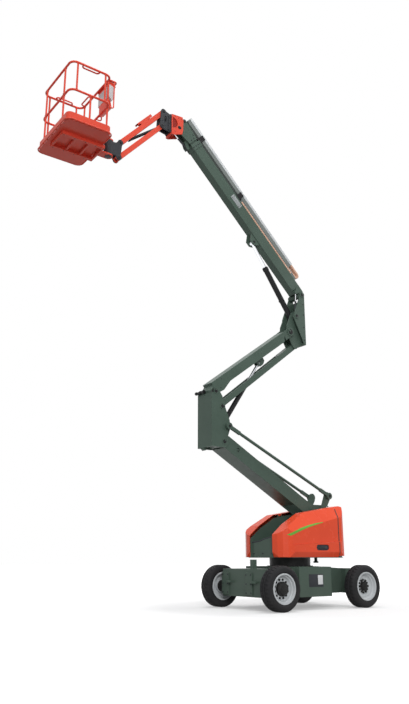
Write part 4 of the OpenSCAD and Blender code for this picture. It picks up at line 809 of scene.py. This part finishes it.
# Body, keeper's paint, (x, z), how far out the pin's face is, its radius, the keeper's turn in degrees
PIVOTS = [
    ("turret", "green_paint", side_view("lower_arm_lift"), 0.212, 0.052, 200),
    ("turret", "green_paint", (-0.8, 1.93), 0.279, 0.026, None),
    ("mid_knuckle", "green_paint", side_view("mid_knuckle_level"), 0.212, 0.034, 250),
    ("mid_knuckle", "green_paint", UPPER_LIFT_FOOT, 0.279, 0.026, None),
    ("mid_knuckle", "green_paint", (1.77516, 3.59878), 0.212, 0.034, 290),
    ("mid_knuckle", "green_paint", (1.63216, 3.34678), 0.212, 0.034, 250),
    ("upper_arm", "green_paint", (-0.09068, 5.03568), 0.142, 0.052, 330),
    ("top_knuckle", "green_paint", (-0.39968, 5.85968), 0.178, 0.036, 270),
    ("top_knuckle", "green_paint", BOOM_LIFT_FOOT, 0.178, 0.036, 90),
    ("boom", "green_paint", BOOM_LIFT_LUG, 0.068, 0.030, 60),
    ("jib_mount", "coral_paint", (JIB_MOUNT_X, JIB_MOUNT_Z), 0.104, 0.036, None),
    ("jib_mount", "charcoal_paint", (2.85381, 8.81229), 0.070, 0.026, 270),
    ("jib_mount", "charcoal_paint", (2.87381, 8.51229), 0.070, 0.026, 90),
    ("jib_head", "charcoal_paint", (3.73045, 7.82142), 0.070, 0.026, 270),
    ("jib_head", "charcoal_paint", (3.75045, 7.52142), 0.070, 0.026, 60),
]


def pin_face(r):
    return turned([
        (0, 0.0015), (0.22 * r, 0.0015), (0.26 * r, 0.004), (0.86 * r, 0.004), (r, 0.0025), (r, -0.001),
        (0, -0.001),
    ], 32)


def pin_ends():
    """Dark pin faces, most with a keeper plate and its bolt, at every pivot's two ends."""
    faces, keepers = {}, {}
    for body, slot, (x, z), y, r, turn in PIVOTS:
        face = pin_face(r)
        for sign in (-1, 1):
            place = side_place(x, z, sign * y)
            faces.setdefault(body, Pile()).add(face, place)
            if turn is None:
                continue
            a = math.radians(turn if sign > 0 else 180 - turn)
            swung = place @ Matrix.Rotation(a, 4, "Z")
            keeper = keepers.setdefault((body, slot), Pile())
            keeper.add(plate(pill(r * 1.5, r * 0.62, 6), 0.005), swung @ moved(r * 0.95, 0, 0.0005))
            keeper.add(BOLT_S, swung @ moved(r * 1.28, 0, 0.0055))
    for body, pile in faces.items():
        pile.piece(f"pin_faces_{body}", body, "black_paint")
    for (body, slot), pile in keepers.items():
        pile.piece(f"pin_keepers_{body}", body, slot)


# Arms and boom

# The chain's links along the boom: the first one's place, their step and number, and their height
LINK_START, LINK_STEP, LINK_COUNT, LINK_T = 0.46, 0.0445, 39, 0.224
COLLAR_S = 3.545


def arm_bolts():
    bolts = {"upper_arm": Pile(), "top_knuckle": Pile(), "boom": Pile(), "fly": Pile()}
    for sign in (-1, 1):
        out = (0, sign, 0)
        root = ((0.19, 0.03), (0.30, 0.06), (0.30, -0.09))
        bolts["upper_arm"].fasten(BOLT_S, [UPPER_ARM.at(s, t, sign * 0.130) for s, t in root], out)
        bolts["top_knuckle"].fasten(BOLT_M, [(-0.42, sign * 0.170, z) for z in (5.66, 5.44, 5.18, 4.92)], out)
        collar = [BOOM.at(COLLAR_S, t, sign * 0.092) for t in (-0.045, 0.025, 0.095, 0.155)]
        bolts["boom"].fasten(BOLT_M, collar, out)
        head = ((3.68, 0.02), (3.68, 0.10), (3.74, 0.14))
        bolts["fly"].fasten(BOLT_M, [BOOM.at(s, t, sign * 0.080) for s, t in head], out)
        cover = ((2.14, 0.045), (2.36, 0.045), (2.14, 0.115), (2.36, 0.115))
        bolts["boom"].fasten(BOLT_S, [BOOM.at(s, t, sign * 0.0835) for s, t in cover], out)
    for y in (-0.05, 0.05):
        bolts["boom"].add(BOLT_M, facing(BOOM.at(COLLAR_S, 0.184, y), BOOM.rise))
        bolts["boom"].add(BOLT_M, facing(BOOM.at(COLLAR_S, -0.075, y), -BOOM.rise))
    for body, pile in bolts.items():
        pile.piece(f"bolts_{body}", body, "charcoal_paint")


def chain_window():
    """Sides of the energy chain's links, seen along the tray, over painted shade in its slot."""
    link = plate(oblong(0.040, 0.034), 0.0022, 0.0007)
    peg = turned([(0, 0.0030), (0.0055, 0.0030), (0.0065, 0.0022), (0.0065, 0), (0, 0)], 12)
    # A dark strip behind the links: painted shade where the tray's slot opens onto the chain
    slot = plate(oblong(1.74, 0.046), 0.0010, 0.0003)
    links, slots = Pile(), Pile()
    for sign in (-1, 1):
        slots.add(slot, BOOM.place(1.31, LINK_T, sign * 0.050))
        for i in range(LINK_COUNT):
            s = LINK_START + i * LINK_STEP
            links.add(link, BOOM.place(s, LINK_T, sign * 0.0506))
            links.add(peg, BOOM.place(s, LINK_T, sign * 0.0522))
    links.piece("chain_sides", "boom", "sand_plastic", "link_sand")
    slots.piece("tray_slot_shade", "boom", "dark_plastic", "dark_seal_and_slot_shade")


def boom_lift_port():
    """Port block with its nut and a clamp under the boom lift barrel."""
    foot, way = cylinder_line(BOOM_LIFT_FOOT, BOOM_LIFT_LUG)
    down = ACROSS.cross(way)
    if down.z > 0:
        down = -down
    seat = foot + way * 0.40 + down * 0.048
    nut = turned([(0, 0.012), (0.009, 0.012), (0.012, 0.009), (0.012, 0), (0, 0)], 6)
    port = Pile().add(block((0.046, 0.046, 0.036), 0.006), facing(seat, down))
    port.add(nut, facing(seat + down * 0.016, down))
    port.add(block((0.020, 0.116, 0.016), 0.004), facing(foot + way * 0.46, down) @ moved(0, 0, 0.050))
    port.piece("boom_lift_port", "boom_lift_barrel", "black_paint")


def on_both_sides(shape, beam, s, t, y):
    """A shape on the right and the left side of a beam."""
    pile = Pile()
    for sign in (-1, 1):
        pile.add(shape, beam.place(s, t, sign * y))
    return pile


def arm_covers():
    """Cover plates, the chain's window, the boom lift's port, roller ends and strips."""
    covers = on_both_sides(plate(oblong(0.28, 0.11), 0.0035), BOOM, 2.25, 0.08, 0.080)
    covers.piece("boom_side_covers", "boom", "silver_paint", "cover_grey")
    chain_window()
    disc = turned([
        (0, 0.006), (0.012, 0.006), (0.015, 0.004), (0.036, 0.004), (0.042, 0.002), (0.042, -0.001),
        (0, -0.001),
    ], 36)
    discs = on_both_sides(disc, LOWER_ARM, 2.236, 0.023, 0.180)
    discs.piece("lower_arm_covers", "lower_arm", "green_paint")
    boom_lift_port()
    roller = turned([
        (0, 0.0022), (0.012, 0.0022), (0.014, 0.0014), (0.032, 0.0014), (0.036, 0.0008), (0.036, -0.001),
        (0, -0.001),
    ], 32)
    rollers = on_both_sides(roller, BOOM, 4.04, 0.1625, 0.080)
    rollers.piece("nose_roller_ends", "fly", "black_paint")
    strips = on_both_sides(plate(oblong(3.45, 0.052), 0.0018, 0.0004), BOOM, 2.288, 0.370, 0.050)
    strips.piece("hose_tube_strips", "fly", "silver_paint", "strip_grey")


def arm_welds():
    welds = {"lower_arm": Pile(), "top_knuckle": Pile(), "boom": Pile()}
    for sign in (-1, 1):
        runs = [
            ("lower_arm", LOWER_ARM.at(0.70, -0.24, sign * 0.180), LOWER_ARM.at(0.70, -0.015, sign * 0.180)),
            ("top_knuckle", (-0.4435, sign * 0.150, 4.83), (-0.4435, sign * 0.150, 5.75)),
            ("boom", BOOM.at(3.489, -0.07, sign * 0.081), BOOM.at(3.489, 0.18, sign * 0.081)),
            ("boom", BOOM.at(1.31, -0.065, sign * 0.069), BOOM.at(1.59, -0.065, sign * 0.069)),
        ]
        for body, start, end in runs:
            welds[body].add(*bead(start, end, 0.005))
    for body, pile in welds.items():
        pile.piece(f"welds_{body}", body, "green_paint")


def cylinder_line(foot, lug):
    """A cylinder's foot and its direction, from two pins in the side view."""
    foot, lug = Vector((foot[0], 0, foot[1])), Vector((lug[0], 0, lug[1]))
    return foot, (lug - foot).normalized()


def gland(body, foot, lug, length, r, rod_r):
    """Gland nut with a wiper where a cylinder's rod leaves its barrel."""
    foot, way = cylinder_line(foot, lug)
    mouth = facing(foot + way * length, way)
    nut = turned([
        (rod_r + 0.0012, -0.004), (r, -0.004), (r, 0.010), (r * 0.92, 0.014), (rod_r + 0.010, 0.014),
        (rod_r + 0.006, 0.020), (rod_r + 0.0012, 0.020),
    ], 32, closed=True)
    pile = Pile().add(nut, mouth)
    screw = bolt(0.0042)
    for x, y in circle(6, (r + rod_r) * 0.53):
        pile.add(screw, mouth @ moved(x, y, 0.0138))
    pile.piece(f"gland_{body}", body, "black_paint")


# Jib and platform

DRIVE_X, DRIVE_Z, DRIVE_HALF = 3.93045, 7.66142, 0.1593
PLATFORM_X = (4.18045, 4.97045)
FLOOR_Z = 7.52142
RAIL_X = (PLATFORM_X[0] + 0.03, PLATFORM_X[1] - 0.03)
RAIL_Y = 0.56
TOP_Z, MID_Z = FLOOR_Z + 1.13, FLOOR_Z + 1.13 * 0.53
# How far inside a rail's corner a post stands, and the collar's face from the rail's middle
POST_IN, COLLAR_OFF = 0.11, 0.0165
# The deck's raised studs: their rows and columns, and the field that they cover
STUD_ROWS, STUD_COLUMNS = 15, 24
STUD_START, STUD_LENGTH, STUD_WIDTH = 0.085, 0.62, 1.01
# Middle of the control panel and of its stop button, across the platform
PANEL_Y, STOP_Y = 0.25, 0.305


def jib_fittings():
    cap = Pile().add(block((0.016, 0.086, 0.088), 0.006, 3), JIB.upright(-0.056, 0.0))
    cap.piece("upper_link_cap", "jib_upper_link", "dark_plastic")
    bolts = Pile()
    for sign in (-1, 1):
        cheek = [(0.10, 0.205), (0.10, -0.115), (-0.045, 0.20), (0.02, 0.20)]
        spots = [(JIB_MOUNT_X + x, sign * 0.104, JIB_MOUNT_Z + z) for x, z in cheek]
        spots += [(JIB_MOUNT_X + 0.213, sign * 0.082, JIB_MOUNT_Z + z) for z in (-0.10, 0.02, 0.16)]
        bolts.fasten(BOLT_S, spots, (0, sign, 0))
    bolts.piece("jib_mount_bolts", "jib_mount", "charcoal_paint")
    cover = turned([
        (0, 0.010), (0.030, 0.010), (0.034, 0.006), (0.052, 0.006), (0.056, 0.003), (0.056, -0.001),
        (0, -0.001),
    ], 36)
    drive = Pile()
    for way in (1, -1):
        z = DRIVE_Z + way * DRIVE_HALF
        drive.add(cover, facing((DRIVE_X, 0, z), (0, 0, way)))
        drive.fasten(BOLT_S, [(DRIVE_X + x, y, z) for x, y in circle(8, 0.066, 0.5)], (0, 0, way))
    drive.piece("rotary_drive_caps", "platform", "charcoal_paint")


def rail_joints():
    """Feet of the posts and the weld collars where they meet the rails."""
    (x0, x1), y1 = RAIL_X, RAIL_Y
    full = [
        (x1, -y1 + 0.15), (x1, y1 - 0.24), (x0, -y1 + POST_IN), (x0, y1 - POST_IN), (x1 - POST_IN, -y1),
        (x0 + POST_IN, -y1),
    ]
    low = [((x0 + x1) / 2, y1)]
    high = [(x0 + POST_IN, y1), (x1 - POST_IN, y1)]
    collar = turned([
        (0.0158, 0), (0.0162, 0.012), (0.0195, 0.006), (0.0232, 0.0015), (0.0235, 0),
    ], 20, closed=True)
    foot = turned([
        (0.0158, 0.014), (0.019, 0.009), (0.0235, 0.0075), (0.0245, 0.0065), (0.0245, 0), (0.0158, 0),
    ], 24, closed=True)
    joints = Pile()
    for x, y in full + low:
        joints.add(foot, moved(x, y, FLOOR_Z + 0.0118))
        joints.add(collar, facing((x, y, MID_Z - COLLAR_OFF), -UP))
    for x, y in full + high:
        joints.add(collar, facing((x, y, MID_Z + COLLAR_OFF), UP))
        joints.add(collar, facing((x, y, TOP_Z - COLLAR_OFF), -UP))
    joints.piece("rail_joints", "platform", "coral_paint")


def platform_fittings():
    rail_joints()
    studs = Pile()
    stud = plate([(-0.016, 0), (0, -0.005), (0.016, 0), (0, 0.005)], 0.0022, 0.0012)
    for i in range(STUD_ROWS):
        for j in range(STUD_COLUMNS):
            x = PLATFORM_X[0] + STUD_START + i * STUD_LENGTH / (STUD_ROWS - 1)
            y = -STUD_WIDTH / 2 + j * STUD_WIDTH / (STUD_COLUMNS - 1)
            turn = math.radians(45 if (i + j) % 2 else -45)
            studs.add(stud, moved(x, y, FLOOR_Z + 0.015) @ Matrix.Rotation(turn, 4, "Z"))
    studs.piece("deck_tread", "platform", "coral_paint")

    bolts = Pile()
    for sign in (-1, 1):
        row = [(PLATFORM_X[0] + 0.10 + i * 0.19, sign * 0.22, FLOOR_Z - 0.06) for i in range(4)]
        bolts.fasten(BOLT_S, row, -UP)
    columns = (-0.105, -0.035, 0.035, 0.105)
    mount = [(PLATFORM_X[0] - 0.06, y, FLOOR_Z + z) for y in columns for z in (0.22, 0.32)]
    bolts.fasten(BOLT_M, mount, -AHEAD)
    bolts.piece("platform_bolts", "platform", "charcoal_paint")


def console_fittings():
    """Sloped control panel with two levers, switches and a stop button."""
    x = RAIL_X[0] - 0.0193
    a, b = Vector((x - 0.030, 0, TOP_Z + 0.002)), Vector((x - 0.104, 0, TOP_Z - 0.038))
    down = (b - a).normalized()
    out = ACROSS.cross(down)
    if out.z < 0:
        out = -out
    spread = out.cross(down)
    thick = 0.003

    def spot(u, y, lift=thick):
        """A place on the sloped top: u down the slope, lift above it."""
        centre = a.lerp(b, u)
        return axes((centre.x, y, centre.z), spread, -down, out) @ moved(0, 0, lift)

    panel = Pile().add(plate(oblong(0.37, 0.072), thick), spot(0.5, PANEL_Y, 0))
    screw = bolt(0.003)
    for along_x in (-0.178, 0.178):
        for along_y in (-0.03, 0.03):
            panel.add(screw, spot(0.5, PANEL_Y) @ moved(along_x, along_y, 0))
    panel.piece("control_panel", "platform", "dark_plastic")

    boot = turned([
        (0, 0.034), (0.006, 0.034), (0.010, 0.028), (0.009, 0.024), (0.015, 0.019), (0.014, 0.015),
        (0.021, 0.010), (0.020, 0.006), (0.026, 0.001), (0.026, 0), (0, 0),
    ], 24)
    knob = turned([
        (0, 0.098), (0.010, 0.097), (0.0145, 0.090), (0.0150, 0.080), (0.0120, 0.066), (0.0060, 0.058),
        (0.0045, 0.034), (0, 0.034),
    ], 20)
    levers = Pile()
    for y in (0.13, 0.37):
        levers.add(boot, spot(0.5, y)).add(knob, spot(0.5, y))
    levers.piece("control_levers", "platform", "black_paint")

    nut = turned([(0, 0.006), (0.004, 0.006), (0.0068, 0.004), (0.0075, 0), (0, 0)], 6)
    stalk = turned([(0, 0.024), (0.0022, 0.0235), (0.0028, 0.021), (0.0016, 0.005), (0, 0.005)], 12)
    toggle = Pile().add(nut).add(stalk, Matrix.Rotation(0.3, 4, "X")).shape()
    switches = Pile()
    for i in range(4):
        for u in (0.3, 0.74):
            switches.add(toggle, spot(u, 0.178 + i * 0.024))
    switches.piece("control_switches", "platform", "silver_paint")

    mushroom = turned([
        (0, 0.027), (0.011, 0.0262), (0.0165, 0.0225), (0.0170, 0.0195), (0.0150, 0.0175), (0.0085, 0.017),
        (0.0085, 0.004), (0, 0.004),
    ], 32)
    collar = turned([
        (0.0085, 0.006), (0.018, 0.006), (0.0195, 0.0045), (0.0195, 0.002), (0.0085, 0.002),
    ], 32, closed=True)
    button = Pile().add(mushroom, spot(0.5, STOP_Y))
    button.piece("stop_button", "platform", "coral_paint", "stop_red")
    seat = Pile().add(collar, spot(0.5, STOP_Y, 0.002))
    seat.piece("stop_collar", "platform", "grey_plastic", "stop_yellow")


# Finishes of the CAD nodes

# The tray's dark stretches along the boom: its clamp, and all past its end
CLAMP_START, CLAMP_END, TRAY_END = 2.23, 2.34, 3.535
# How far below the top rail the console's red hood ends and its red foot starts
CONSOLE_HOOD, CONSOLE_FOOT = 0.097, 0.36
# A wheel's disc on its hub: how far out it reaches, and the hole in its middle
DISC_OUT, DISC_HOLE = 0.0185, 0.05


def dress_nodes():
    slots = {s["node"]: s["material_slot"] for s in frame["record"]["subparts"]}
    for name, obj in frame["nodes"].items():
        obj.data.materials.clear()
        obj.data.materials.append(FINISHES[slots[name]])


def second_finish(node, finish, chosen):
    """Gives the faces that chosen picks, by their centre and normal, another finish."""
    mesh = frame["nodes"][node].data
    mesh.materials.append(FINISHES[finish])
    for face in mesh.polygons:
        if chosen(face.center, face.normal):
            face.material_index = len(mesh.materials) - 1


def two_tone_nodes():
    top = JOINTS["mid_knuckle_level"] + Vector((0.2, 0.0, 0.832))

    def on_clamp(c, n):
        s = (c - BOOM.root).dot(BOOM.way)
        return CLAMP_START < s < CLAMP_END or s > TRAY_END

    def on_console_ends(c, n):
        return c.z > TOP_Z - CONSOLE_HOOD or c.z < TOP_Z - CONSOLE_FOOT

    def on_knuckle_top(c, n):
        return c.z > top.z and c.x > top.x

    # The jib mount's pocket floor, which gets the darker red of painted shade
    def in_pocket(c, n):
        return 0.089 < abs(c.y) < 0.1035 and abs(n.y) > 0.9 and c.x > JIB_MOUNT_X + 0.03

    second_finish("chain_tray", "black_paint", on_clamp)
    second_finish("console", "coral_paint", on_console_ends)
    second_finish("mid_knuckle", "black_paint", on_knuckle_top)
    second_finish("jib_mount", "pocket_shade_red", in_pocket)
    for axle in HUBS:
        for side, sign in SIDES:
            centre = JOINTS[f"wheel_{axle}_{side}_spin"]

            def on_wheel_disc(c, n):
                reach = math.hypot(c.x - centre.x, c.z - centre.z)
                return (c.y - centre.y) * sign < DISC_OUT and reach > DISC_HOLE

            second_finish(f"hub_{axle}_{side}", "silver_paint", on_wheel_disc)


studio_camera()
white_world()
studio_floor()
softbox("overhead", (1.0, 1.0, 19.0), (1.0, 0.0, 3.0), 13.0, 1900.0)
softbox("key", (16.0, 22.0, 11.0), (1.0, 0.0, 3.5), 12.0, 3900.0)
softbox("rim", (-10.0, 3.0, 9.0), (0.0, 0.0, 4.5), 6.0, 360.0)
dress_nodes()
two_tone_nodes()
wheels()
chassis_fittings()
turret_fittings()
pin_ends()
arm_bolts()
arm_covers()
arm_welds()
upper_lug = UPPER_ARM.at(1.344, 0.128, 0)
gland("boom_lift_barrel", BOOM_LIFT_FOOT, BOOM_LIFT_LUG, 1.12, 0.052, 0.030)
gland("upper_lift_barrel", UPPER_LIFT_FOOT, (upper_lug.x, upper_lug.z), 1.12, 0.044, 0.025)
jib_fittings()
platform_fittings()
console_fittings()
